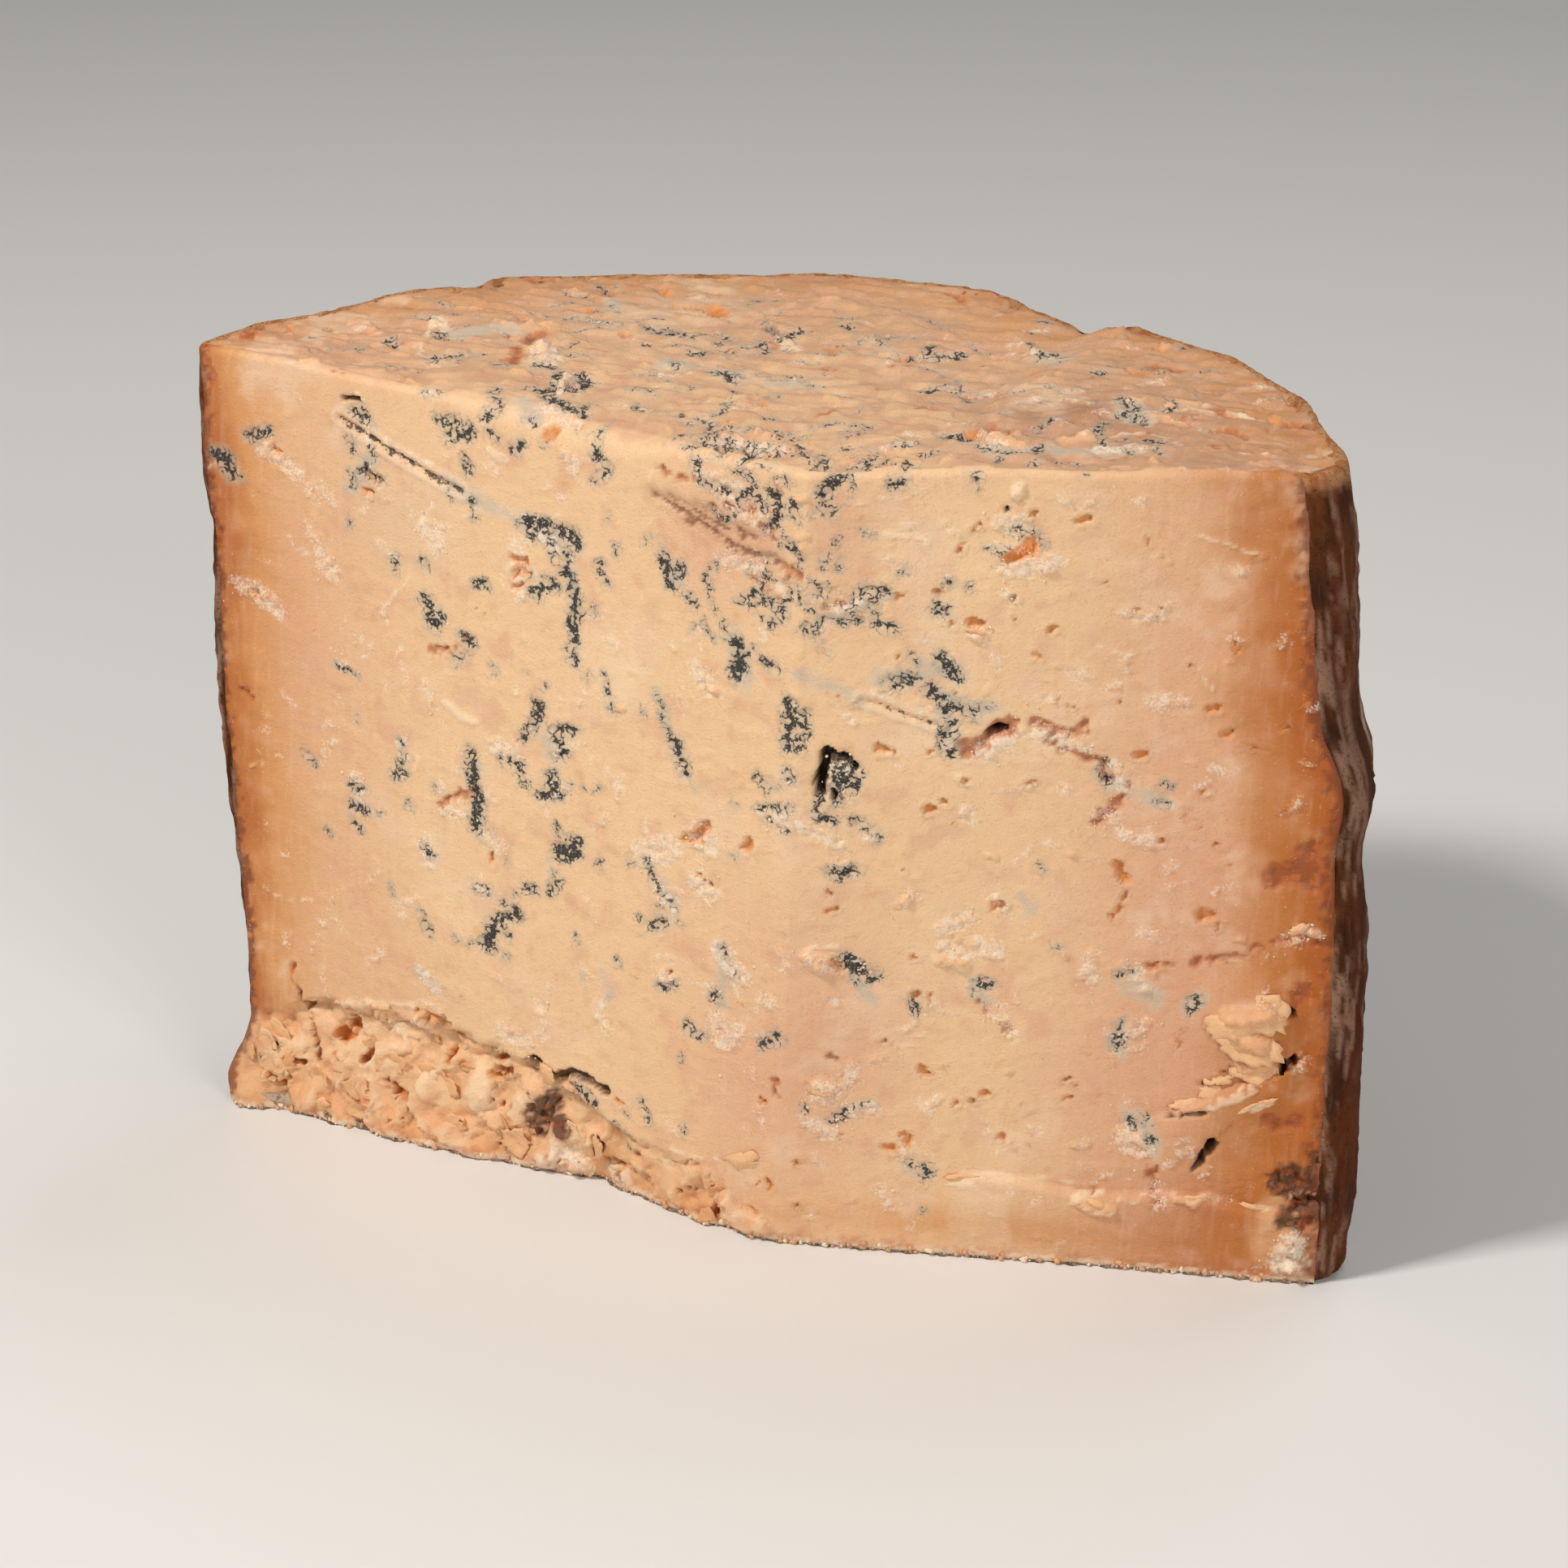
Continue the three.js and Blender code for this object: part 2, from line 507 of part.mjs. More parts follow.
const TOP_LUMPS = [
  { at: [-40, 37], size: [4, 9, 0.9], tilt: 30 },
  { at: [-31, 25], size: [3, 7, 0.9], tilt: 10 },
  { at: [-57.5, 80], size: [2.6, 5, 1.2], tilt: -10 },
  { at: [-38.6, 90], size: [2, 5, 1], tilt: 0 },
  { at: [45, 83], size: [8, 5, 1.8], tilt: -20 },
  { at: [52, 21.5], size: [5, 2, 1.1], tilt: 20 },
  { at: [12, 4], size: [5, 3, 1.2], tilt: 0 },
];

// Cuts and joins, done on exact closed solids
const wasm = await Module();
wasm.setup();

function asSolid(geometry) {
  const merged = mergeVertices(geometry, 1e-4);
  const triVerts = new Uint32Array(merged.index.array);
  const vertProperties = new Float32Array(merged.getAttribute('position').array);
  return new wasm.Manifold(new wasm.Mesh({ numProp: 3, vertProperties, triVerts }));
}

function lumpsOn(surface, places) {
  return places.map((place) => asSolid(cragAt({ on: surface, rings: LUMP_RINGS, ...place })));
}

// Wide holes get a stepped wall and narrow cracks a plain one
function cutsOn(surface, places) {
  return places.map((place) => {
    const rings = place.size[1] >= PIT_WIDTH ? PIT_RINGS : CRACK_RINGS;
    return asSolid(cragAt({ on: surface, rings, ...place }));
  });
}

function asGeometry(solid) {
  const mesh = solid.getMesh();
  const geometry = new THREE.BufferGeometry();
  geometry.setAttribute('position', new THREE.Float32BufferAttribute(mesh.vertProperties, 3));
  geometry.setIndex(new THREE.Uint32BufferAttribute(mesh.triVerts, 1));
  return geometry;
}

// The largest closed body, so that no loose scrap is left by a cut
function mainBody(solid) {
  const pieces = solid.decompose();
  return pieces.reduce((best, piece) => (piece.volume() > best.volume() ? piece : best));
}

function roughWedge() {
  const lumps = [...lumpsOn('left', LEFT_LUMPS), ...lumpsOn('right', RIGHT_LUMPS), ...lumpsOn('top', TOP_LUMPS)];
  const cuts = [...cutsOn('left', LEFT_CUTS), ...cutsOn('right', RIGHT_CUTS), ...cutsOn('top', TOP_CUTS)];
  let wedge = asSolid(wedgeSkin());
  for (const lump of lumps) wedge = wedge.add(lump);
  for (const cut of cuts) wedge = wedge.subtract(cut);
  return asGeometry(mainBody(wedge));
}

// The wedge stands with the middle of its base at the origin
function centredOnBase(geometry) {
  geometry.computeBoundingBox();
  const { min, max } = geometry.boundingBox;
  geometry.translate(-(min.x + max.x) / 2, -(min.y + max.y) / 2, -min.z);
  return geometry;
}

const paste = new THREE.MeshStandardMaterial({ color: 0xe4bd93, roughness: 0.62, metalness: 0 });
const wedge = new THREE.Mesh(centredOnBase(roughWedge()), paste);
wedge.name = 'cheese_wedge';

const group = new THREE.Group();
group.add(wedge);

export default group;
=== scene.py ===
"""A tall wedge of blue-veined cheese, with two knife-cut sides, a cut top and a browned rind.

Shapes are worked out in millimetres from the axis of the whole cheese, then moved into the frame.
Marks are strokes laid on a surface, on a cut side by distance from the apex and by height,
and on the top by x and y.
"""
import math

import bmesh
import bpy
import numpy as np
from mathutils import Matrix, Vector
from mathutils.geometry import delaunay_2d_cdt

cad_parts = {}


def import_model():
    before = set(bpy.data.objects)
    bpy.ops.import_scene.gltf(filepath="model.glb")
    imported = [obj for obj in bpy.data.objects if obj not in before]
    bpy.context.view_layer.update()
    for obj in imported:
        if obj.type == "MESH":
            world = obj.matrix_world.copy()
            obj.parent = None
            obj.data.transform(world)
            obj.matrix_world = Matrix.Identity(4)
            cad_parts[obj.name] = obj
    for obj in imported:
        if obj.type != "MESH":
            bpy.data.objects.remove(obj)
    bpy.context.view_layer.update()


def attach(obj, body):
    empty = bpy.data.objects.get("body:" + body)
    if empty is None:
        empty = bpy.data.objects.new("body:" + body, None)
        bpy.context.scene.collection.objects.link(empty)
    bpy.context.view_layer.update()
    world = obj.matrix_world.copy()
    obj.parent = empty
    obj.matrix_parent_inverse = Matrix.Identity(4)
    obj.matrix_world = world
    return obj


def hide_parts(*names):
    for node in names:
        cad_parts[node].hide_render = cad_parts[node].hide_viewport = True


NODE = "cheese_wedge"
MM = 0.001

# Driving sizes in millimetres and degrees, as in the solid
HEIGHT = 138.7
RIM_RADIUS = 100.0
RIND_BULGE_RIGHT = 8.2
RIND_TAPER_LEFT = 4.5
APEX_TOP = (20.0, 0.0)
APEX_FOOT = (12.8, 2.8)
LEFT_FACE_TOP_ANGLE = 169.5
LEFT_FACE_FOOT_ANGLE = 170.8
RIGHT_FACE_TOP_ANGLE = 15.6
RIGHT_FACE_FOOT_ANGLE = 11.6
RIGHT_CORNER_DEPTH = 6.0
RIGHT_CORNER_SPREAD = 5.0
LEFT_CORNER_DEPTH = 1.0
LEFT_CORNER_SPREAD = 1.5
EDGE_ROUND_TOP = 1.2
EDGE_ROUND_WORN = 2.6
EDGE_ROUND_FOOT = 0.8
TORN_BAND_RECESS = 2.6
TORN_BAND_BULGE = 4.4
FOOT_ROLL = 3.7
RIM_CHIP_DEPTH = 11.0
RIM_CHIP_START = 62.5
RIM_CHIP_END = 80.0
FLAKE_PATCH_LIFT = 1.8
LEDGE_LIFT = 1.6
RIDGE_LIFT = 1.3
TOP_UNDULATION = 0.4

# Sizes that only the visual model has
HOLE_DEPTH = 4.6
RIM_ROUND = 1.1
RIND_THICKNESS = 3.0
INNER_RIM_DROP = 1.0

# How far the paste stops inside the rind, at the rim and behind it, and at each end as a share of the arc;
# hidden surfaces move in towards one point, given by x and y
PASTE_INSET = 1.2
HIDDEN_INSET = 4.2
BACK_GAP = 0.016
INSIDE = (0.0, 46.0)

# Where the axis of the whole cheese lies in the frame
AXIS_X = -3.88
AXIS_Y = -52.40

# Mesh fineness in millimetres
FACE_CELL = 0.45
TOP_ROWS = 130
RIND_CELL = 1.0

# How many scales and loose flakes the torn band has, and how many crumbs lie along each foot
PETALS = 240
TORN_FLAKES = 30
FOOT_CRUMBS = 190

# Columns and rows of the rind's grids: round each corner and each end, across the base,
# and of the inside
RIND_CORNER_COLUMNS = 14
RIND_END_COLUMNS = 7
RIND_BASE_ROWS = 34
INNER_RIND_GRID = (120, 40, 6)

# The rind's arc for its columns, and the radius at which its texture is measured
RIND_ARC_LENGTH = 270
ARC_RADIUS = 104.0

# Camera, from the perspective of the far rim and the upright edges
CAMERA_PLACE = (223.2, -551.5, 335.1)
CAMERA_AZIMUTH = 20.6
CAMERA_ELEVATION = 23.0
CAMERA_HALF_ANGLE = 11.0
SENSOR_WIDTH = 36.0

# Studio lights in watts, the world's strength, and half of the floor's width in metres
LIGHT_AIM = (0.0, 0.0, 0.06)
KEY_POWER = 13.0
FILL_POWER = 5.4
TOP_POWER = 3.0
WORLD_STRENGTH = 0.22
FLOOR_REACH = 6.0


def tone(red, green, blue):
    """A colour given as it looks on a screen, 0 to 255, turned into linear light."""
    values = [channel / 255 for channel in (red, green, blue)]
    return tuple(v / 12.92 if v <= 0.04045 else ((v + 0.055) / 1.055) ** 2.4 for v in values) + (1.0,)


CREAM = tone(240, 202, 158)
BUFF = tone(228, 181, 139)
OCHRE = tone(206, 132, 54)
GOLD = tone(172, 86, 8)
PEACH = tone(226, 166, 116)
ORANGE = tone(192, 116, 46)
TAN = tone(200, 154, 120)
BROWNED = tone(172, 86, 24)
CRUST = tone(116, 52, 20)
PINKISH = tone(220, 164, 132)
PALE = tone(246, 220, 186)
CURD = tone(238, 184, 136)
FLECK = tone(250, 238, 222)
MOULD_WHITE = tone(234, 208, 180)
MOULD_GREY = tone(124, 118, 110)
VEIN_DARK = tone(20, 22, 25)
VEIN_ASH = tone(120, 114, 106)
VEIN_GREY = tone(150, 144, 132)
HALO = tone(192, 178, 158)
AMBER = tone(228, 148, 78)
LENS = tone(246, 146, 44)
DUSKY = tone(164, 112, 82)
# The dark amber is painted shade, laid deep in dents and in the hollows of the torn band
AMBER_SHADE = tone(184, 106, 44)
RUST = tone(182, 94, 42)
RUST_DARK = tone(118, 54, 20)
# Painted shade for the insides of holes: near black, and browner in the shallower holes low on the left face
HOLE_SHADE = tone(26, 20, 18)
TORN_HOLE_SHADE = tone(126, 86, 48)
FUZZ = tone(92, 50, 18)
RIND_BROWN = tone(106, 57, 28)
RIND_DARK = tone(58, 31, 16)
RIND_MAUVE = tone(162, 124, 102)
RIND_RUST = tone(132, 74, 36)
FLOOR_GREY = tone(228, 227, 225)


def smooth(value, low, high):
    share = np.clip((value - low) / (high - low), 0.0, 1.0)
    return share * share * (3.0 - 2.0 * share)


def bump(value, centre, width):
    return np.exp(-(((value - centre) / width) ** 2))


def mix(low, high, share):
    return low + (high - low) * share


def rise(z):
    return np.clip(z / HEIGHT, 0.0, 1.0)


# Form of the wedge


def rim_shape(angle):
    """The broken rim at the back: one chip with a steep side, one proud stretch and one small step."""
    along = (RIM_CHIP_END - angle) / (RIM_CHIP_END - RIM_CHIP_START)
    inside = (along > 0) & (along < 1)
    depth = RIM_CHIP_DEPTH * along * smooth(angle, RIM_CHIP_START, RIM_CHIP_START + 1)
    chip = np.where(inside, depth, 0.0)
    step = 2.4 * bump(angle, 130, 3) - 2.6 * bump(angle, 134.5, 1.6)
    return 2.2 * bump(angle, 90, 8) + step - chip


def rind_radius(angle, z):
    share = rise(z)
    right = RIM_RADIUS + 1 + RIND_BULGE_RIGHT * (1 - share**2.4) + 2.6 * bump(z, 87, 8) - 1.3 * bump(z, 0, 9)
    left = RIM_RADIUS - RIND_TAPER_LEFT * (1 - share) ** 1.2
    left = left + 1.2 * bump(z, 120, 8) + FOOT_ROLL * bump(z, 4, 8)
    turn = np.radians(angle)
    wrinkle = 0.5 * np.sin(turn * 23 + z * 0.05) + 0.4 * np.sin(turn * 9 + z * 0.09)
    fade = smooth(z, HEIGHT - 26, HEIGHT)
    return mix(right, left, smooth(angle, 40, 140)) + wrinkle + rim_shape(angle) * fade


def apex_at(z):
    share = rise(z)
    return mix(APEX_FOOT[0], APEX_TOP[0], share), mix(APEX_FOOT[1], APEX_TOP[1], share)


def face_direction(side, z):
    ends = (LEFT_FACE_FOOT_ANGLE, LEFT_FACE_TOP_ANGLE)
    if side == "right":
        ends = (RIGHT_FACE_FOOT_ANGLE, RIGHT_FACE_TOP_ANGLE)
    angle = np.radians(mix(*ends, rise(z)))
    return np.cos(angle), np.sin(angle)


def face_length(side, z):
    """Distance from the apex to where the face meets the rind."""
    ax, ay = apex_at(z)
    dx, dy = face_direction(side, z)
    if side == "left":
        radius = rind_radius(167.0, z) - LEFT_CORNER_DEPTH
    else:
        radius = rind_radius(13.0, z) - RIGHT_CORNER_DEPTH + 1.5 * (1 - rise(z))
    along = ax * dx + ay * dy
    return -along + np.sqrt(along**2 - ax**2 - ay**2 + radius**2)


def torn_limit(distance):
    """Upper limit of the torn band along the foot of the left face."""
    middle = 12.5 * smooth(distance, 18, 62) - 8 * smooth(distance, 88, 112)
    return 12 + middle - 8 * (1 - smooth(distance, 2, 16))


def left_relief(distance, z):
    limit = torn_limit(distance)
    under = smooth(limit - z, 0, 2.2)
    down = np.clip(1 - z / limit, 0, 1)
    recess = TORN_BAND_RECESS * smooth(distance, 8, 40) * (1 - smooth(distance, 96, 108))
    bulge = TORN_BAND_BULGE * down**1.2 * smooth(distance, 30, 75)
    lumps = 0.7 * np.sin(distance * 0.55) * np.sin(z * 0.5 + distance * 0.13)
    waves = 0.35 * np.sin(distance * 0.07 + 0.6) * np.cos(z * 0.045)
    foot_dent = -1.6 * bump(distance, 37, 9) * (1 - smooth(z, 0, 12))
    return waves + under * (bulge + lumps - recess) + foot_dent


def right_relief(distance, z):
    patch = smooth(11.5 - np.hypot((distance - 75) * 0.95, z - 46.5), 0, 9)
    ledge_line = 29.5 + 0.52 * (distance - 62)
    ledge = smooth(ledge_line - z, 0, 1.2) * (1 - smooth(ledge_line - z, 2, 16)) * smooth(distance, 60, 66)
    ledge = ledge * (1 - smooth(distance, 80, 87))
    ridge_line = 16.5 - 0.03 * distance + 0.8 * np.sin(distance * 0.21)
    ridge = smooth(ridge_line - z, -0.4, 1.1) * (1 - smooth(ridge_line - z, 3, 15))
    ridge = ridge * smooth(distance, 24, 40) * (1 - smooth(distance, 80, 88))
    waves = 0.3 * np.sin(distance * 0.09) * np.cos(z * 0.06 + 0.8)
    return waves + FLAKE_PATCH_LIFT * patch + LEDGE_LIFT * ledge + RIDGE_LIFT * ridge


def top_height(x, y):
    waves = np.sin(x * 0.06 + 1) * np.cos(y * 0.075) + 0.5 * np.sin(x * 0.16 + y * 0.11)
    apex_dip = 1.8 * bump(x, 18, 26) * bump(y, 0, 16)
    worn_dip = 1.4 * bump(x, -22, 22) * bump(y, 2, 12)
    return HEIGHT + 0.008 * np.abs(x) + TOP_UNDULATION * waves - apex_dip - worn_dip


def face_point(side, distance, z, inset=0.0):
    """A place on a cut side, with its relief, moved inwards by the rounding of an edge."""
    ax, ay = apex_at(z)
    dx, dy = face_direction(side, z)
    nx, ny = (-dy, dx) if side == "left" else (dy, -dx)
    relief = left_relief(distance, z) if side == "left" else right_relief(distance, z)
    out = relief * smooth(distance, 0, 5) - inset
    return ax + dx * distance + nx * out, ay + dy * distance + ny * out


def end_angle(side, z):
    ax, ay = apex_at(z)
    dx, dy = face_direction(side, z)
    length = face_length(side, z)
    return np.degrees(np.arctan2(ay + dy * length, ax + dx * length))


def rind_point(share, z, inset=0.0):
    """A place on the curved side; share runs from the right cut side to the left one."""
    start = end_angle("right", z)
    end = end_angle("left", z)
    angle = mix(start, end, share)
    right_gap = np.clip((angle - start) / RIGHT_CORNER_SPREAD, 0, 1)
    left_gap = np.clip((end - angle) / LEFT_CORNER_SPREAD, 0, 1)
    right_cut = (RIGHT_CORNER_DEPTH - 1.5 * (1 - rise(z))) * (1 - np.sqrt(1 - (1 - right_gap) ** 2))
    left_cut = LEFT_CORNER_DEPTH * (1 - np.sqrt(1 - (1 - left_gap) ** 2))
    radius = rind_radius(angle, z) - right_cut - left_cut - inset
    turn = np.radians(angle)
    return radius * np.cos(turn), radius * np.sin(turn), angle


# Noise, worked out in millimetres from seeded gradients

GRADIENTS = np.random.default_rng(5).normal(size=(1024, 3))
GRADIENTS /= np.linalg.norm(GRADIENTS, axis=1)[:, None]


def corner_value(cell, local, seed):
    key = cell[:, 0] * 73856093 ^ cell[:, 1] * 19349663 ^ cell[:, 2] * 83492791 ^ seed * 2654435
    gradient = GRADIENTS[key & 1023]
    return (gradient * local).sum(axis=1)


def noise(points, size, seed=0):
    """Gradient noise, about -1 to 1, with cells of the given size or sizes."""
    scaled = points / np.asarray(size, float) + 37.7
    cell = np.floor(scaled).astype(np.int64)
    local = scaled - cell
    ease = local**3 * (local * (local * 6 - 15) + 10)
    total = np.zeros(len(points))
    for dx in (0, 1):
        for dy in (0, 1):
            for dz in (0, 1):
                step = np.array((dx, dy, dz))
                weight = np.where(step, ease, 1 - ease).prod(axis=1)
                total += weight * corner_value(cell + step, local - step, seed)
    return total * 1.5


def layered(points, size, seed=0, layers=3):
    total = np.zeros(len(points))
    for layer in range(layers):
        total += noise(points, np.asarray(size, float) / 2**layer, seed + layer) / 1.9**layer
    return total


def ridged(points, size, seed=0, layers=3):
    """Noise folded into sharp crests, from 0 in the hollows to about 1."""
    total = np.zeros(len(points))
    for layer in range(layers):
        total += (1 - np.abs(noise(points, np.asarray(size, float) / 2**layer, seed + layer))) / 2**layer
    return total / (2 - 0.5 ** (layers - 1))


# Marks: each stroke is its half width, its strength, then its points as pairs

VEINS = {
    "left": [
        (0.6, 0.8, 87.2, 128.6, 86.3, 126.2), (0.6, 0.9, 83, 127.6, 82.6, 125, 85, 122.4),
        (0.6, 0.9, 83, 122.2, 81.2, 121.6), (0.6, 0.9, 87, 122.4, 86.8, 120.4),
        (0.8, 0.9, 86.4, 133, 83.6, 132, 84, 133.6), (0.7, 0.9, 69.6, 134.4, 66, 134),
        (1.1, 1, 67.4, 132, 64.4, 132.2, 63.8, 133.6), (0.6, 0.7, 64.2, 128.2, 63.8, 126.4),
        (0.5, 0.7, 62.6, 121.6, 62.2, 118.8), (1, 0.7, 108.4, 124.8, 104.2, 126.6),
        (1.3, 1, 115.3, 120.8, 112.6, 119.6, 111.8, 117.8), (0.6, 0.8, 110.4, 117.8, 110, 118),
        (0.6, 0.6, 78.1, 109, 78.2, 107.2), (0.6, 0.7, 73.2, 109.2, 71.6, 108.4),
        (0.9, 0.9, 61.6, 107.4, 60, 107.2), (1.1, 1, 71.4, 102, 70.8, 100, 69.4, 98.6, 68.6, 100),
        (1, 1, 63.4, 97.2, 62.2, 97), (0.6, 0.6, 66, 93, 63, 94.4), (0.7, 0.5, 90, 87.6, 86.4, 86.4),
        (0.7, 0.5, 76.6, 76.2, 75.6, 73.4, 77, 71.2, 75.4, 70), (0.6, 0.4, 86, 78.6, 85.6, 78.2),
        (1.1, 0.8, 62, 77, 61.4, 73, 60.8, 70, 61, 66, 60.4, 63), (0.9, 0.8, 86.6, 65.6, 84.4, 65.2),
        (0.9, 0.9, 86.6, 61.8, 83.4, 61.8), (0.7, 0.5, 86.6, 58.8, 84.8, 57.8),
        (0.5, 0.5, 81.8, 61.5, 80.6, 61.8), (0.7, 0.4, 97, 69.4, 94.6, 67.8),
        (0.7, 0.6, 77.4, 69, 75.4, 70.4), (0.6, 0.7, 74.8, 64.8, 74.4, 64.6),
        (0.8, 0.8, 59.6, 52.8, 58.6, 52.4), (0.5, 0.5, 55.4, 51, 54, 50.6),
        (1.2, 1, 58.4, 42.2, 57, 45, 55.4, 47.4, 52.4, 49.4), (0.6, 0.9, 54.6, 45.6, 53.8, 44.8),
        (0.5, 0.8, 61.4, 41.2, 56.6, 41.4), (0.7, 0.7, 71.8, 44.6, 70.2, 41.2),
        (0.5, 0.6, 64.6, 41.8, 64, 41.2), (0.8, 0.9, 70.8, 57.6, 69.8, 56.6),
        (0.9, 0.8, 54.6, 131.6, 53.6, 132.8), (0.8, 0.6, 57.6, 132.6, 59.6, 133.6),
        (0.9, 0.9, 54, 138, 51, 137.4), (0.8, 0.9, 59.8, 137.2, 60.4, 136),
        (0.7, 0.8, 43.4, 138, 41, 137.4), (0.8, 0.9, 38.8, 135.6, 38.2, 133.2, 36.8, 132, 37.4, 130.8),
        (0.4, 0.6, 39.2, 129.6, 39, 128.8),
        (0.7, 0.9, 20.2, 136, 19.2, 133, 15.4, 131.8, 12, 131.4, 9.4, 133),
        (0.5, 0.8, 17.2, 128.6, 15, 127.2, 13, 128.2), (0.5, 0.7, 13.4, 135.6, 10.4, 135.2, 10, 134),
        (0.5, 0.8, 3.8, 135.4, 3.4, 134.8), (0.6, 0.9, 2.6, 131.8, 1.6, 129.6),
        (0.7, 0.9, 3.4, 124.6, 1.4, 124.4, 0.6, 122.4),
        (0.6, 0.9, 6.4, 119.6, 7.6, 117, 9, 115.4, 11, 114.2),
        (0.6, 0.9, 9, 114, 6.2, 114.8, 3.6, 113.2, 5.4, 111.2), (0.6, 0.8, 2.8, 118.6, 0.6, 116.6),
        (1, 1, 25.4, 118.8, 24.4, 116.4, 24.2, 114.2), (0.9, 1, 22.4, 117.4, 22.2, 116.8),
        (0.7, 0.9, 21.4, 113.2, 20.2, 112), (0.6, 0.7, 18.2, 116.8, 16.8, 115),
        (0.5, 0.6, 17.2, 118.6, 16, 118.2), (0.5, 0.6, 16.8, 113.6, 15.6, 111.8),
        (0.4, 0.6, 29.4, 121, 29.2, 120.6), (0.4, 0.5, 35, 119, 34.7, 117.2),
        (0.6, 0.6, 37.6, 115.4, 37, 113, 36, 112), (0.5, 0.6, 38.8, 107.2, 38.4, 106.6),
        (1.2, 0.9, 52, 119.6, 49.6, 119.4, 48.4, 119.6), (1, 0.9, 50.6, 117.4, 50.8, 118.6),
        (0.7, 0.8, 47, 118, 46.6, 114.6), (1.2, 0.9, 45.6, 119.4, 43.6, 119, 42, 118),
        (1.1, 0.8, 44, 115.6, 44.6, 113, 42.2, 111.4),
        (1.2, 1, 42.6, 110, 41.6, 107, 42.6, 104, 42.2, 101.4), (0.8, 0.8, 43.2, 99.6, 41.6, 97.4),
        (1.1, 1, 49.6, 107.8, 47.6, 109.6, 46.4, 110), (0.5, 0.7, 51, 110.8, 50.2, 110.4),
        (0.6, 0.7, 36.2, 96.4, 35.4, 93.4, 34.4, 90.8), (0.5, 0.4, 51.6, 94, 51, 93.6),
        (0.5, 0.6, 26, 95, 25, 92.4, 24.4, 90, 23.4, 88), (1.1, 0.9, 22.4, 87, 21.2, 84.4, 20.6, 82),
        (0.5, 0.8, 20, 84, 19.9, 83), (0.8, 1, 49, 88.4, 49.4, 86, 50.4, 83.6, 51.8, 82),
        (0.8, 1, 46, 84.6, 44.6, 85.2, 41.6, 85.4), (0.9, 0.9, 45, 83, 43.6, 81.6, 44.2, 79.6),
        (0.8, 0.7, 55.8, 77, 52.2, 77.2, 51.4, 75), (0.7, 0.9, 51, 73.8, 50.4, 73.6),
        (1.1, 0.8, 46.2, 76, 44.2, 73.4, 47.6, 72.4), (0.4, 0.5, 42.6, 75.4, 42.4, 74.4),
        (0.4, 0.4, 39.8, 75.5, 39.2, 75.2), (0.6, 0.7, 44.7, 67, 44.3, 65.6),
        (1.2, 1, 44, 62.8, 41.2, 63, 41.4, 65.4), (0.8, 0.9, 45.4, 55, 43.6, 57.2),
        (0.7, 0.9, 50.4, 54.5, 49, 54.9), (0.4, 0.5, 40.6, 48, 40, 46.4),
        (0.6, 0.9, 26.8, 65, 25.8, 62.4, 25, 60.4), (0.7, 0.6, 24, 59, 21, 57.6),
        (0.6, 0.6, 28.6, 54.4, 27.6, 52.8), (0.9, 0.6, 26, 53, 23.6, 54.2),
        (0.5, 0.6, 20.4, 55, 20, 54.6), (0.9, 0.7, 6.4, 84.6, 5, 82.8, 3.8, 83.8),
        (0.5, 0.9, 6.2, 79, 3, 80, 0.4, 80.4), (0.5, 0.7, 6, 78.2, 3, 76.8, 0.4, 76.2),
        (1.1, 1, 1.8, 98.6, 1, 95, 1.4, 91), (0.7, 0.9, 1.2, 86.4, 0.6, 85.8),
        (0.9, 0.9, 6, 133, 4.6, 130, 6.4, 127.4), (0.7, 0.9, 9.4, 133.6, 8, 130.4),
        (0.5, 0.7, 14, 109.6, 13.4, 107), (0.4, 0.6, 18.4, 110, 17, 108, 16, 106.8),
        (1.3, 1, 11.6, 106.4, 10.8, 104.4, 11.4, 101.6), (0.7, 0.9, 8.6, 105.6, 6, 104.8, 3.4, 103.2),
        (0.7, 0.8, 11.6, 52, 11, 51), (0.6, 0.7, 10.6, 49, 9, 47.8), (0.8, 0.7, 13.4, 43, 12.6, 42.6),
        (0.7, 0.8, 23.4, 42.4, 21, 43.2), (0.9, 0.7, 18, 36.8, 15.8, 35.8),
        (0.8, 1, 4, 36.8, 2, 37.8, 0.4, 38.6), (0.6, 0.5, 26.6, 20, 25, 17.4, 24.4, 16),
        (0.4, 0.5, 29.4, 17.4, 29, 16.8), (0.5, 0.5, 18.2, 17.6, 17.8, 16.8),
        (1.1, 0.8, 39, 18.6, 37.4, 17.4, 36.6, 16.6), (0.4, 0.5, 32, 14.4, 29.6, 13.2, 27.8, 12.4),
        (1, 0.8, 60.4, 69.4, 60.2, 64.6), (0.5, 0.6, 58.6, 63.8, 57.6, 63.2),
        (0.4, 0.6, 30.6, 9.6, 30, 8.6),
    ],
    "right": [
        (0.9, 1, 2.6, 134.4, 4.2, 136.8), (0.5, 0.9, 4.6, 137.4, 7, 137.2),
        (0.8, 0.9, 3.2, 132.2, 3.4, 131), (0.4, 0.7, 6.8, 136, 6.9, 135.2),
        (0.9, 0.9, 13.2, 136, 14.2, 136.5), (0.6, 0.5, 25.4, 137.4, 26, 135.8),
        (0.6, 0.5, 15, 121.6, 16, 122), (0.5, 0.6, 21.4, 120.3, 22.6, 120.2),
        (0.5, 0.6, 26.1, 119.6, 26.5, 119.4), (0.5, 0.6, 28.6, 125.8, 31, 126.4),
        (0.5, 0.8, 32.4, 129, 34, 129.2, 35.4, 128.6), (0.4, 0.6, 36.2, 127.4, 36.9, 126.6),
        (0.6, 0.9, 0, 115.6, 1.6, 114.8, 2.8, 113.2, 5.6, 112.9, 9, 113),
        (0.6, 0.9, 0, 111.4, 2.4, 111.8), (0.8, 1, 9, 118.2, 11.6, 118.2),
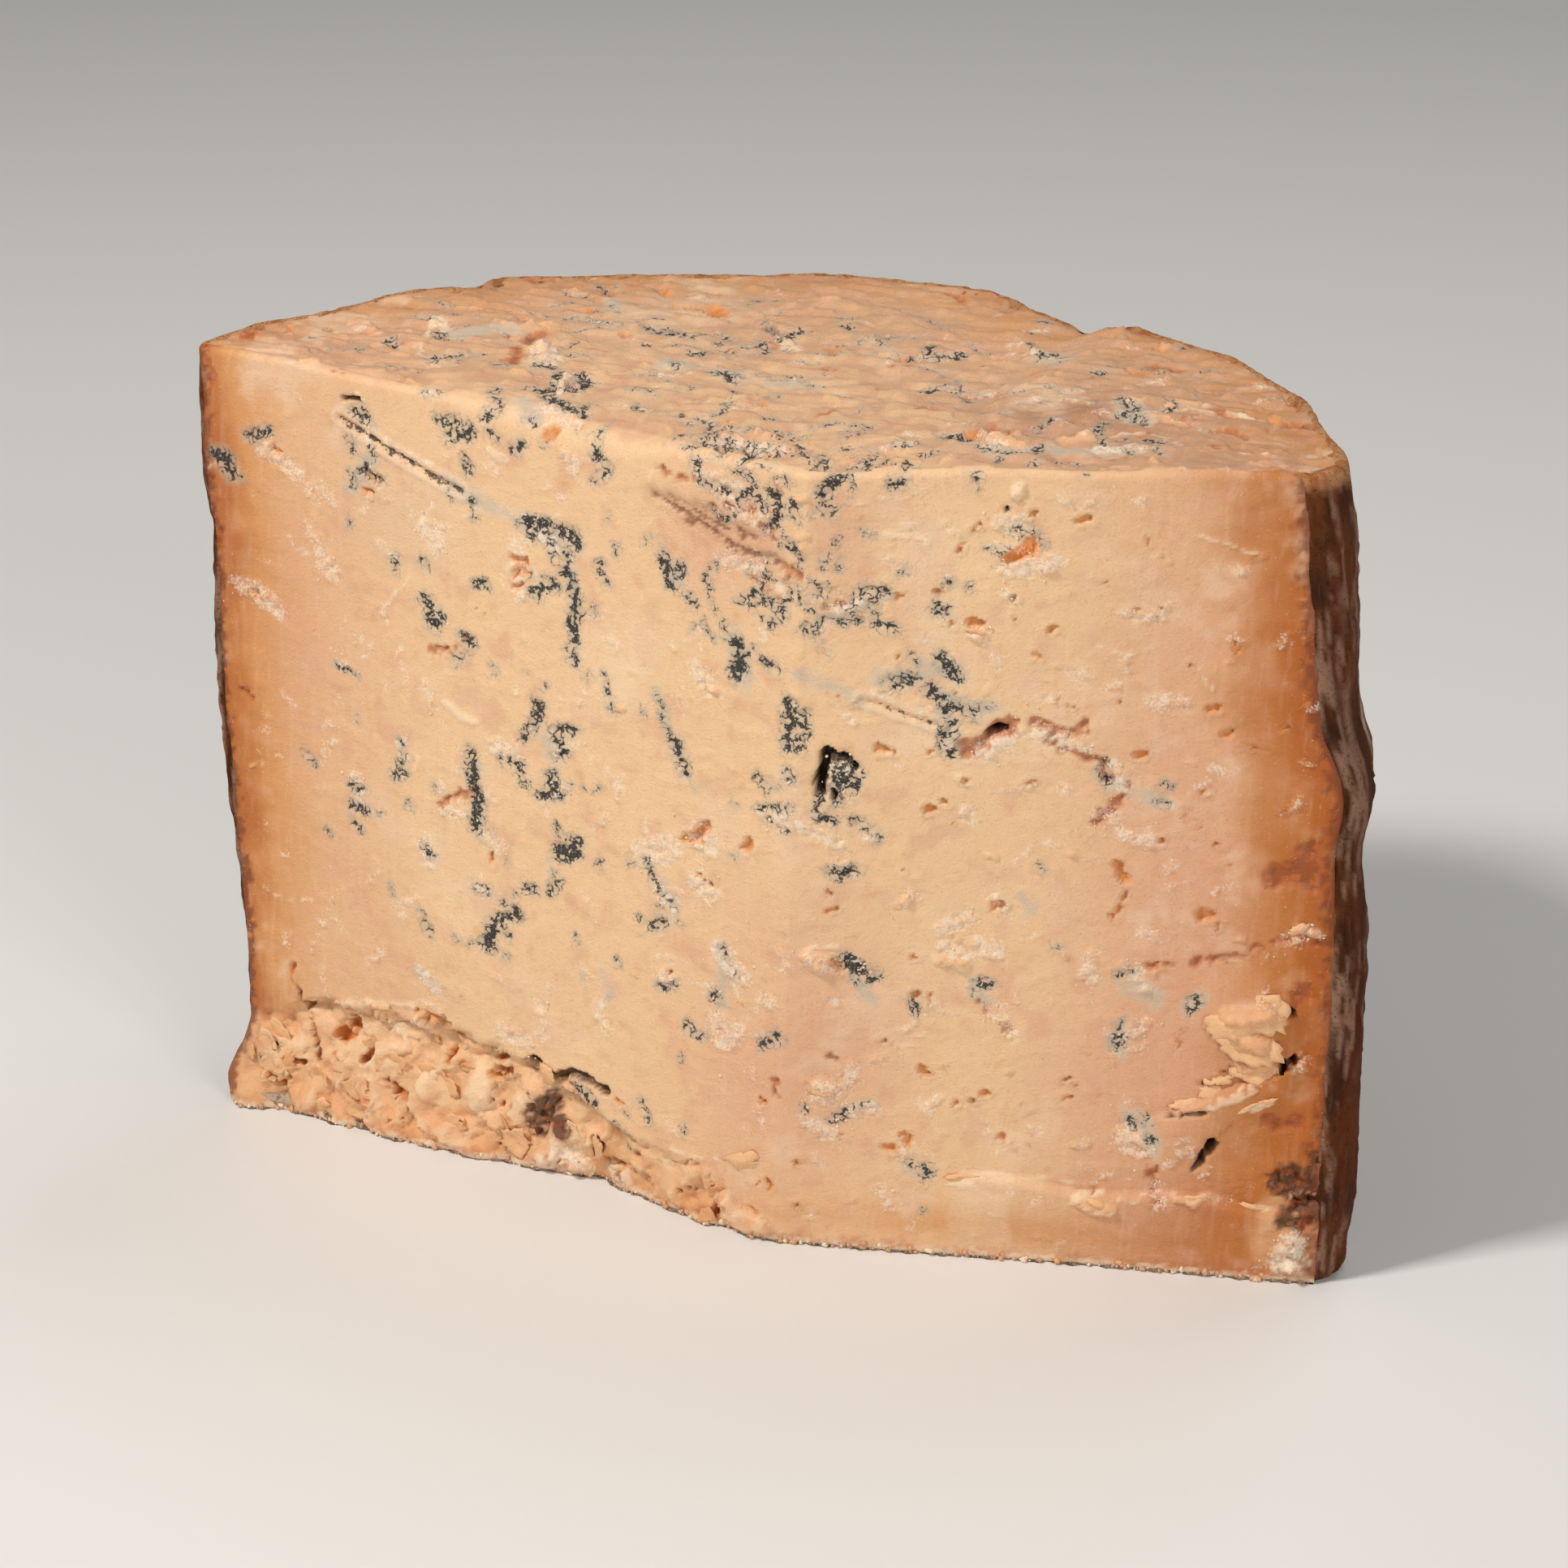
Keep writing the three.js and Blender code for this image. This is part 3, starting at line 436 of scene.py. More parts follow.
        (0.6, 0.9, 10.8, 118, 10.6, 116, 11.6, 114.4), (0.5, 0.8, 7.6, 115, 9.4, 117.6),
        (0.7, 1, 11.4, 113, 12.8, 112.8, 14.2, 112.5), (0.7, 0.8, 20.4, 116, 21.2, 114.8, 22.8, 115.4),
        (0.4, 0.6, 17.4, 107.9, 18.3, 106.4),
        (0.6, 1, 14.4, 102.9, 15, 104.2, 17.6, 104.6, 17.8, 103.8, 15.4, 102.7),
        (1, 1, 22.2, 107.2, 23, 106, 24.4, 104.8), (0.8, 1, 20.4, 102.6, 22.8, 100.4),
        (0.7, 1, 22.8, 100.4, 23, 98.4, 24.2, 96, 25.4, 94.4),
        (0.9, 1, 24.2, 96.6, 23.4, 93.6, 24.4, 91.6), (0.6, 1, 24, 99.4, 26.6, 98.8, 29.4, 99.5),
        (0.4, 0.9, 27.8, 98.6, 27.7, 97.6), (0.6, 0.5, 58, 84.6, 59, 84),
        (0.5, 0.4, 58.4, 87.8, 59.4, 87.2), (1.3, 1, 9.4, 88, 10.4, 86.4, 9.8, 84.6),
        (1.5, 1, 7.4, 87.4, 7.8, 85.2), (0.6, 0.9, 6.4, 83.2, 7.2, 82.4), (0.6, 0.9, 4.2, 82.6, 4.1, 81),
        (0.9, 0.9, 5, 79, 6.2, 78.6), (0.6, 0.9, 9.8, 79.4, 12.6, 77.6), (0.3, 0.6, 13.9, 76.4, 14, 75),
        (0.9, 0.9, 6.6, 70, 8.4, 69.2, 10.4, 70.2), (0.7, 1, 0.4, 97, 1, 94.6, 1.6, 93.6),
        (0.8, 0.9, 0.4, 92.4, 0.6, 91), (0.6, 0.5, 39.6, 71.8, 40.2, 71.6),
        (0.5, 0.5, 43.3, 58.6, 43.7, 58.1), (1.3, 0.9, 10, 53.6, 12, 52.2, 14.4, 51.4),
        (0.5, 0.7, 11.6, 50.4, 11.8, 49.6), (0.7, 0.8, 21, 46.6, 21.6, 45.2),
        (0.7, 0.7, 31, 51, 33, 50.8), (0.6, 0.6, 30.8, 49, 32, 48.2), (0.5, 0.8, 4.2, 26.4, 4.4, 26.1),
        (0.9, 0.8, 9.4, 24.6, 10.8, 25.4), (0.5, 0.6, 12.4, 26.8, 14.8, 27.4),
        (0.7, 0.7, 22.2, 17.2, 22.4, 16.8), (0.9, 0.9, 25.2, 16, 25, 14),
        (0.4, 0.5, 24.8, 8.4, 24.9, 8.1), (0.9, 0.7, 66, 51, 67, 50.6, 66.4, 49),
        (1, 0.9, 55, 42.8, 54.9, 41.4), (0.7, 0.5, 54.6, 45.6, 54.4, 44), (0.6, 0.7, 55.6, 55.2, 54, 54),
        (0.6, 0.7, 57.4, 28.2, 58.4, 26.4), (0.5, 0.7, 60, 29, 60.4, 27.4),
        (0.5, 0.9, 60.5, 24.3, 61.6, 24.5), (0.8, 0.8, 48.2, 88.8, 49.4, 88),
        (0.6, 0.7, 49.2, 91, 48.4, 90.4),
    ],
    "top": [
        (0.8, 0.8, -82, 33.2, -81.4, 32.6), (0.8, 0.8, -69, 36.6, -66, 33), (1, 1, -62, 42, -61, 40),
        (0.8, 0.8, -59.4, 38.6, -57.4, 39.6), (0.9, 0.8, -64.4, 52.6, -60.6, 51.8),
        (0.7, 0.6, -69.4, 48.2, -66, 47), (1.1, 0.8, -58.4, 29, -55, 29.4, -53.4, 30.6),
        (0.8, 0.9, -39.6, 31.8, -37.4, 32.4), (0.7, 0.7, -46, 29.2, -43.6, 30.2),
        (0.8, 1, -34.8, 30.6, -33.2, 26, -32.4, 21.6),
        (1, 1, -30.6, 29.6, -28.2, 27, -28.4, 23, -28.8, 20.6), (1.1, 1, -35.4, 20.2, -31.8, 19.6),
        (0.7, 0.9, -39.8, 17.6, -39, 14.6, -37, 11, -36.4, 7.6), (0.9, 0.9, -31.4, 17, -28, 15, -25, 13),
        (0.9, 1, -33.2, 10, -30.2, 7.6, -28.2, 3.6), (0.8, 0.9, -24.4, 16, -23.6, 12.6),
        (0.7, 0.8, -22.4, 9, -20.4, 4.6), (0.6, 0.7, -18.4, 10, -18, 5),
        (1.1, 0.8, -30.4, 59.2, -28, 57, -22, 55.8), (0.8, 1, -18, 60.2, -16.2, 58.8),
        (0.7, 0.7, -27.4, 60, -25, 58), (0.7, 0.5, -46, 58.4, -43, 57),
        (0.6, 0.6, -41.4, 67.4, -38.8, 65), (0.8, 0.5, -48.4, 78.6, -46, 77),
        (0.6, 0.7, -13.4, 68, -10, 64.4, -7, 60.2), (0.6, 0.7, -8.4, 68.4, -5, 66.2, -6.4, 61.4),
        (0.9, 0.8, -7.4, 65.4, -6.2, 62.4), (0.8, 0.7, -10.4, 58, -8, 54.6),
        (0.6, 0.6, -5, 56.6, -4.4, 55.4), (0.6, 0.6, -16.4, 54.6, -15.8, 53.6),
        (0.6, 0.6, -18.4, 47.6, -16.6, 46.2, -16, 49.4), (0.7, 0.6, -14.6, 52.6, -13, 51),
        (1, 0.9, -10, 40.4, -8.6, 38.6, -6.6, 36.6), (0.7, 0.8, -11.4, 37.4, -9.4, 36.6),
        (0.7, 0.7, -18.4, 39.6, -17.4, 38.4), (0.6, 0.7, -11.6, 30.6, -11.2, 29.6),
        (0.7, 0.8, -4, 31.4, -3.4, 30.2), (0.5, 0.6, -3.4, 25.6, -2.2, 22, -3, 19),
        (0.4, 0.5, -17, 17, -12, 17.8, -10, 18),
        (0.6, 0.9, -8.4, 17, -5, 16.6, -2.6, 15.4, -0.6, 12, 1, 8.6), (0.6, 0.8, -16, 19.8, -15.8, 18.6),
        (0.8, 0.6, 0, 70.6, 2, 69.2), (0.9, 1, 18, 64, 18.8, 61, 20, 59.8),
        (0.8, 0.9, 20, 60.6, 22.4, 61.4, 24.2, 62.6), (0.6, 0.8, 16.4, 59.8, 14.4, 56.4),
        (0.6, 0.8, 32.6, 71.2, 35.6, 67.4, 37, 63.6),
        (0.7, 0.8, 40.2, 67.6, 36.4, 67, 38.6, 65.4, 40.2, 63.6), (0.9, 0.8, 47.4, 60.4, 49, 59.8),
        (0.7, 0.9, 24.6, 40.4, 27.4, 44.2, 29.4, 43.4), (0.6, 0.7, 29.4, 46.6, 29.8, 45.4),
        (0.5, 0.6, 30.2, 40.4, 33, 40), (0.8, 0.9, 5.6, 20.8, 6.6, 19.8), (0.7, 0.7, 20, 16.6, 22, 19.4),
        (0.7, 0.7, 34, 11.6, 36, 13.8), (1.3, 1, 35.2, 20.4, 37, 21, 38.8, 19.4),
        (0.8, 1, 42.2, 17.2, 46, 15.6, 48.6, 17.2), (0.5, 0.8, 46.4, 13.6, 46.6, 12.8),
        (0.9, 0.9, 51, 20.4, 51.4, 17), (0.5, 0.7, 51, 13.2, 52.4, 13.4), (0.5, 0.7, 55, 15, 58.6, 15.6),
        (0.6, 0.9, 57, 33.4, 57.2, 29, 59, 26), (0.6, 0.8, 49.2, 32.6, 48, 30, 47.4, 27.6),
        (0.8, 0.9, 55.4, 46.4, 59, 43, 60, 40, 58, 37.4), (0.7, 0.8, 63.2, 48.4, 65, 46, 64, 42.6),
        (0.7, 0.8, 61, 38, 62.6, 34), (0.6, 0.6, 66, 26.6, 69, 26.4), (0.6, 0.6, 62, 26, 63, 26.6),
        (0.5, 0.6, 64, 22.6, 64.6, 22), (0.6, 0.7, 59.6, 25.4, 60.2, 24.2),
        (0.5, 0.6, 69, 23.8, 70, 22.4), (0.7, 0.6, 90, 42.4, 91, 41.6), (0.5, 0.5, 4, 41, 8, 39.4),
        (0.6, 0.9, -1.6, 9, 1.4, 7), (0.6, 0.9, 3, 10.4, 5, 6.4, 4.4, 3), (0.6, 0.9, 7.4, 9, 9, 5, 8, 2),
        (0.5, 0.8, 11.4, 8, 13, 5), (0.6, 0.8, 15, 9, 17.4, 5.4), (0.5, 0.8, 2, 2.4, 6, 1.4),
        (0.6, 0.8, 10, 12, 13, 11), (0.5, 0.8, 19, 8, 21, 4.4), (0.6, 0.7, 26, 8.4, 28, 5.4),
        (0.6, 0.7, 31, 9, 29.6, 6.2), (0.5, 0.6, -72, 58, -68, 57), (0.6, 0.6, 30, 84, 33, 82),
        (0.5, 0.5, 10, 80, 14, 79), (0.5, 0.5, -20, 82, -16, 83), (0.5, 0.5, 55, 66, 58, 65),
    ],
}

SMEARS = {
    "left": [
        (1.8, 0.8, 67, 123.6, 60, 121.6, 52, 119.4, 46, 117.6), (1.4, 0.5, 46, 118, 42, 110, 42, 98),
        (1.2, 0.5, 26, 95, 21, 83), (1.3, 0.5, 45.6, 60.6, 45, 58), (2.4, 0.5, 12, 107, 10, 101),
        (1.6, 0.5, 24, 63, 22, 56), (1.8, 0.5, 12, 52, 12, 42), (1.5, 0.5, 72, 33, 68, 31),
        (1, 0.6, 20, 81.6, 18.4, 80), (1.4, 0.4, 60, 76, 60, 62), (1.2, 0.4, 35, 44, 34, 38),
        (1.6, 0.4, 83, 125, 87, 120), (1.3, 0.4, 22, 114, 24, 118), (1, 0.4, 90, 88, 86, 86),
        (1.6, 0.4, 47, 83, 44, 72),
    ],
    "right": [
        (1.2, 0.9, 0, 103.4, 3, 102.8, 7, 101.4, 10, 100.2), (2, 0.5, 13, 104, 24, 106),
        (1.8, 0.5, 22, 98, 26, 93), (2.2, 0.5, 56, 52, 60, 50), (1.8, 0.5, 50, 88, 60, 84),
        (1.6, 0.4, 66, 50, 67, 51), (1.6, 0.5, 55, 46, 55, 40), (2.2, 0.4, 58, 29, 62, 23),
        (2, 0.4, 12, 50, 14, 47), (1.6, 0.4, 22, 16, 26, 14), (1.6, 0.4, 37, 67, 39, 64),
        (1.6, 0.4, 31, 51, 33, 48), (2, 0.4, 24, 101, 30, 99), (1.6, 0.4, 3, 113, 12, 117),
    ],
    "top": [
        (3, 0.5, -58, 42, -52, 48), (2.6, 0.4, -20, 40, -8, 40), (2.4, 0.5, 36, 66, 40, 64),
        (3, 0.5, 58, 44, 62, 36), (2.4, 0.5, 44, 16, 62, 22), (2.4, 0.4, -34, 14, -28, 6),
        (2, 0.5, -44, 74, -40, 66), (2.4, 0.4, 0, 38, 6, 40),
    ],
}

WHITES = {
    "left": [
        (0.9, 0.7, 84, 129.2, 78, 127.6, 71, 125.8), (1.8, 0.6, 105, 123.4, 98, 120.4),
        (1.4, 0.6, 93.4, 119, 91, 116.8), (2.2, 0.7, 72.4, 115.6, 70.4, 112.8),
        (1, 0.8, 70.4, 115.8, 67.4, 116.2), (2, 0.5, 93, 106.8, 91, 104),
        (1.9, 0.8, 111, 98, 107, 97.4, 102, 94.6), (1.6, 0.7, 70.6, 86.6, 69.6, 84.2),
        (1.2, 0.5, 89, 88.4, 87, 87), (1.5, 0.6, 76.4, 76, 76, 72), (1.3, 0.8, 67, 65.6, 62.4, 66),
        (1.5, 0.7, 58.6, 62.2, 56, 60.6), (1.6, 0.8, 59.6, 53.4, 58.6, 52),
        (2.2, 0.9, 70.8, 58.4, 70, 56), (1.6, 0.5, 86, 67.6, 85, 63.4),
        (1.4, 0.6, 45.4, 132.4, 42.8, 131.4), (1.3, 0.6, 52, 120, 46, 116),
        (1.6, 0.7, 53.4, 115.6, 52.6, 107), (1.2, 0.6, 69.6, 100.6, 69, 100),
        (1.2, 0.7, 45, 80.4, 41.4, 82.4), (2, 0.7, 56.6, 79, 53, 79), (1.3, 0.6, 45, 74.6, 44, 73),
        (2.6, 0.8, 28, 66, 25, 67.6, 22.4, 68), (1.8, 0.8, 24.4, 59.4, 22, 58.2),
        (2.4, 0.7, 18, 72, 15.4, 70.8), (2.2, 0.7, 17, 63.6, 15, 62), (1.3, 0.8, 5.4, 78.6, 0.6, 78.2),
        (1.7, 0.8, 18.4, 101, 16.8, 97.8), (2.6, 0.6, 12, 51, 9, 47.6), (1.6, 0.6, 23, 44.4, 21.4, 43.6),
        (2.4, 0.7, 12.6, 38.6, 9, 37.4, 11.4, 35.4), (1.4, 0.5, 48, 33, 46, 30),
        (1.3, 0.5, 35, 37, 34, 32), (1.6, 0.5, 72, 34, 69, 31), (1.6, 0.6, 15, 120.9, 8, 120.4),
        (1, 0.6, 36, 102.4, 34, 101.4), (2.2, 0.4, 54, 26, 50, 25), (1.6, 0.5, 14, 129.8, 9, 128.4),
        (2, 0.6, 44, 5.2, 40, 5), (1.2, 0.6, 20, 135, 12, 133), (1.5, 0.5, 4, 45, 2.4, 44.4),
    ],
    "right": [
        (1.3, 0.7, 5.6, 115.4, 8.4, 115.8), (1.3, 0.7, 30, 126.6, 33.6, 126),
        (1.8, 0.6, 31, 122.6, 38, 123.4), (1.2, 0.5, 31.6, 119, 33, 118),
        (1.1, 0.9, 25.6, 112.4, 28.4, 111.6), (1.5, 0.8, 29, 91.6, 33, 93.2, 35, 95.6),
        (1.6, 0.6, 38, 95.6, 46, 93.2), (1.4, 0.7, 50, 90.4, 51.6, 86.4), (1.3, 0.6, 51, 82, 48, 81),
        (1.6, 0.5, 52, 79, 57, 77.6), (1.2, 0.6, 55.6, 101.2, 60.4, 101.4),
        (1, 0.8, 50, 115.7, 55.4, 115.6), (2.2, 0.9, 7, 88.4, 7.4, 85), (1.1, 0.8, 1, 77.6, 8, 74.4),
        (1, 0.8, 7, 70.8, 9.4, 70.6), (1, 0.7, 18.4, 64.6, 19.6, 66.6), (1.5, 0.7, 24.6, 60.4, 29, 62.4),
        (1.6, 0.6, 26, 57, 29.6, 56), (1.8, 0.7, 31, 57.4, 33.6, 57), (1.6, 0.5, 3, 53.4, 7, 52.6),
        (1.1, 0.8, 11.4, 53, 13.6, 52), (1.3, 0.6, 33.4, 46, 34.4, 45.2), (1.3, 0.7, 36, 45, 37, 42.4),
        (1.5, 0.8, 11.4, 26.4, 15, 26.8), (2, 0.5, 5, 24, 9, 21.4), (1.4, 0.6, 33, 66, 35, 64),
        (1.4, 0.6, 49, 57, 49.6, 52.6), (1.5, 0.6, 57, 44, 58.6, 45.6), (2.2, 0.6, 57, 25, 60, 22.6),
        (1.6, 0.6, 80, 61.6, 84, 63), (2.4, 0.9, 86, 8, 84.4, 4), (1.4, 0.6, 63, 16.4, 64, 13),
        (1.4, 0.5, 17, 12, 20, 9), (1.3, 0.5, 56, 55, 58, 52), (1.4, 0.6, 12, 34, 11, 31.4),
        (2, 0.5, 7, 30.4, 9, 29), (1.6, 0.5, 30, 130.6, 34, 129.8),
    ],
    "top": [
        (3, 1, -42.4, 41, -40, 37, -39.6, 34.6), (2.6, 1, -32.4, 28, -31, 24, -30, 21.6),
        (2, 0.5, -64, 47, -62, 44), (1.6, 0.6, 33, 42.6, 36, 43.4), (1.4, 0.7, 52.4, 24.6, 56.4, 26.4),
        (2, 0.5, 40, 22, 44, 19), (2, 0.5, -8, 61, -4, 58), (1.8, 0.4, 35, 66, 38, 65),
        (2.2, 0.5, -30, 14, -24, 10), (2.4, 0.5, 4, 8, 12, 7), (1.8, 0.5, 60, 22, 66, 24),
    ],
}

AMBERS = {
    "left": [
        (0.9, 0.8, 84.4, 122.8, 81.8, 121.4), (0.8, 0.7, 84.6, 119.2, 83, 119),
        (0.9, 0.9, 102.6, 123.2, 101.4, 123.2), (0.9, 0.9, 107.4, 97.2, 106.6, 96.8),
        (0.7, 0.8, 70.2, 85.6, 69.6, 85.4), (1, 1, 54, 113.4, 52, 113),
        (0.9, 1, 53.6, 110.6, 52.2, 110.9), (0.8, 0.9, 53.6, 108.2, 52.4, 108.8),
        (1.1, 1, 48, 135, 46.4, 136.6), (1.1, 1, 19.6, 71, 17.4, 71.6, 16.2, 73.4),
        (1.1, 1, 8.8, 71, 8.4, 72), (0.6, 0.8, 17.2, 64.4, 14.4, 63.6), (0.5, 0.7, 22.4, 45.4, 20.8, 45),
        (0.7, 0.7, 3.4, 26.4, 2.8, 26), (0.6, 1, 99.6, 28.4, 99.2, 25, 97.6, 23, 96.6, 19.6),
        (0.8, 1, 95, 16.6, 94.6, 13.6, 94.2, 11), (1.2, 1, 90, 16.2, 87, 17, 86.4, 20),
        (0.9, 1, 84, 12.6, 82.2, 15.8), (1, 0.9, 99.6, 9.6, 97, 9.8), (1.1, 0.9, 77, 9.2, 74.4, 8.6),
        (1, 0.8, 72, 24.8, 66.4, 25), (1, 0.9, 56.6, 20, 53.6, 22), (0.9, 0.9, 58, 16, 54, 18.6),
        (0.8, 0.8, 66.8, 17, 66, 18.6), (0.7, 0.8, 102.4, 12.6, 101.8, 11), (0.8, 0.8, 27.4, 9, 25, 9.2),
        (0.8, 0.8, 12, 2.8, 10.4, 3.4), (0.8, 0.6, 40, 18.4, 42, 19.6), (0.7, 0.8, 1.8, 11.4, 1, 10.4),
        (0.8, 0.8, 4.6, 5.6, 3.8, 4.8), (0.8, 0.8, 35.6, 8.6, 37.4, 5.6), (0.7, 0.7, 57.2, 57, 57.8, 59),
        (0.8, 0.6, 31, 19, 29.6, 18.8),
    ],
    "right": [
        (0.6, 0.9, 23.7, 125.2, 24.3, 126.6), (0.5, 0.8, 14, 117.9, 15.4, 118.1),
        (1.3, 1, 31.6, 125, 33, 126, 34.6, 126.8), (0.6, 0.9, 28, 131, 29.6, 130.6),
        (0.5, 0.8, 34.2, 131.6, 35.2, 132), (0.6, 0.9, 41, 130.6, 43.6, 131.4),
        (0.5, 0.8, 25.2, 129.4, 25.8, 129.8), (0.6, 0.6, 32.4, 114.6, 32.6, 114.2),
        (0.6, 0.8, 38.6, 113.2, 38.9, 112.8), (0.7, 0.9, 37.4, 109, 37.5, 108.8),
        (0.8, 0.9, 26, 114, 27.6, 113.2), (0.6, 0.6, 23, 113.4, 23.2, 113.1),
        (0.8, 1, 64, 100.8, 65.2, 100.7), (0.5, 0.9, 71.6, 94.5, 73, 94.2, 74.4, 93.9),
        (0.4, 0.8, 76.2, 97.2, 76.6, 98), (1, 0.9, 67, 96.8, 67.4, 96.8),
        (0.4, 0.8, 48.4, 116.4, 51.4, 116.8, 55.4, 116.6), (0.6, 0.8, 67, 111.4, 67.8, 110.6),
        (0.4, 0.7, 60.6, 108.4, 60.8, 108), (0.8, 0.9, 54, 92.6, 54.6, 92.2),
        (0.5, 0.8, 15.6, 90.8, 14, 91.8), (0.9, 0.9, 13.6, 91.8, 14.4, 91.4),
        (0.5, 0.8, 21.2, 91, 22.2, 92), (0.7, 0.9, 24, 83.4, 24.4, 83), (0.8, 0.9, 21, 81.6, 22.4, 81.7),
        (0.5, 0.8, 27, 87.2, 27.5, 87.1), (1.1, 1, 52, 73.4, 53.4, 71.2),
        (0.8, 0.9, 57.6, 77.4, 58.6, 77.2), (0.6, 0.9, 54.4, 68.4, 53.4, 66, 52.4, 64.4),
        (1.1, 0.8, 66.2, 65.2, 67, 65.8), (0.8, 0.7, 68.8, 64, 69.2, 63.9),
        (0.9, 0.9, 33.6, 64.8, 34.4, 65.2), (0.9, 0.9, 20.4, 48.2, 21.4, 48.2),
        (0.7, 0.8, 16.4, 39.6, 16.8, 39.6), (0.9, 0.9, 23.2, 34.6, 23.8, 34.4),
        (0.7, 0.9, 33.8, 31.4, 34.2, 31.5), (0.7, 0.9, 32, 29.6, 32.4, 29.5),
        (0.7, 0.9, 28.7, 29.2, 28.9, 28.6), (0.9, 0.9, 37, 23, 37.4, 22.8),
        (0.6, 0.9, 3, 15.9, 3.1, 15.6), (0.9, 0.8, 21.2, 22.4, 22, 21), (0.8, 0.8, 17, 19.6, 19.4, 19.2),
        (0.7, 0.9, 25, 12.9, 25.3, 12.8), (0.5, 0.7, 50.6, 14.4, 52.6, 14.6),
        (0.7, 0.8, 45.6, 31, 47.6, 31.4), (0.6, 0.7, 6, 62.6, 8, 63.4), (0.7, 0.6, 8, 53.6, 9, 51.8),
        (0.6, 0.7, 63.8, 86.6, 64.2, 86.4), (0.6, 0.7, 61.6, 82.8, 62, 83.4),
        (0.6, 0.6, 64.6, 42.6, 64.9, 41.8), (0.8, 0.7, 73, 39, 71, 36.6), (0.9, 0.9, 82, 40.6, 84, 41.6),
        (0.6, 0.7, 3.2, 8.2, 3.6, 7.8),
    ],
    "top": [
        (1.7, 0.9, -46.4, 64, -44.6, 63.4), (1.8, 1, -45.4, 77, -44.4, 75.2),
        (1.1, 1, -32.4, 53.4, -31.8, 52.8), (0.9, 0.8, -53, 55.2, -51.8, 54.8),
        (1.3, 0.8, -31.4, 73, -27, 73.2), (1.6, 1, -24.6, 73.4, -22.4, 70.8),
        (1.3, 0.9, -28, 68.4, -27.4, 68), (1.4, 0.9, 2.4, 59, 3.8, 57.4), (1.9, 1, 15.4, 58, 17, 56.8),
        (0.9, 0.8, 2.4, 26.8, 2.8, 26.2), (1.6, 1, 38.6, 22.6, 40.6, 20.6),
        (1.4, 0.9, 53.4, 64, 54.6, 62.4), (1, 0.8, 57.2, 64.4, 57.8, 63),
        (1.2, 0.7, 53.6, 78.6, 54.6, 77.6), (1.2, 0.8, 81.6, 45.4, 83, 43.4),
        (1, 0.7, -88, 37, -86.4, 34.4), (1, 0.7, -74.4, 40.4, -73.4, 38.6),
        (1.2, 0.7, 38.4, 57, 38.8, 55), (1.2, 0.6, 67, 57, 69, 56), (1.4, 0.5, -38, 82, -36, 80),
        (1, 0.7, 11, 6.4, 12, 4.6), (0.9, 0.7, 44, 26, 45, 23), (1.4, 0.8, 12, 95.6, 15, 93),
    ],
}

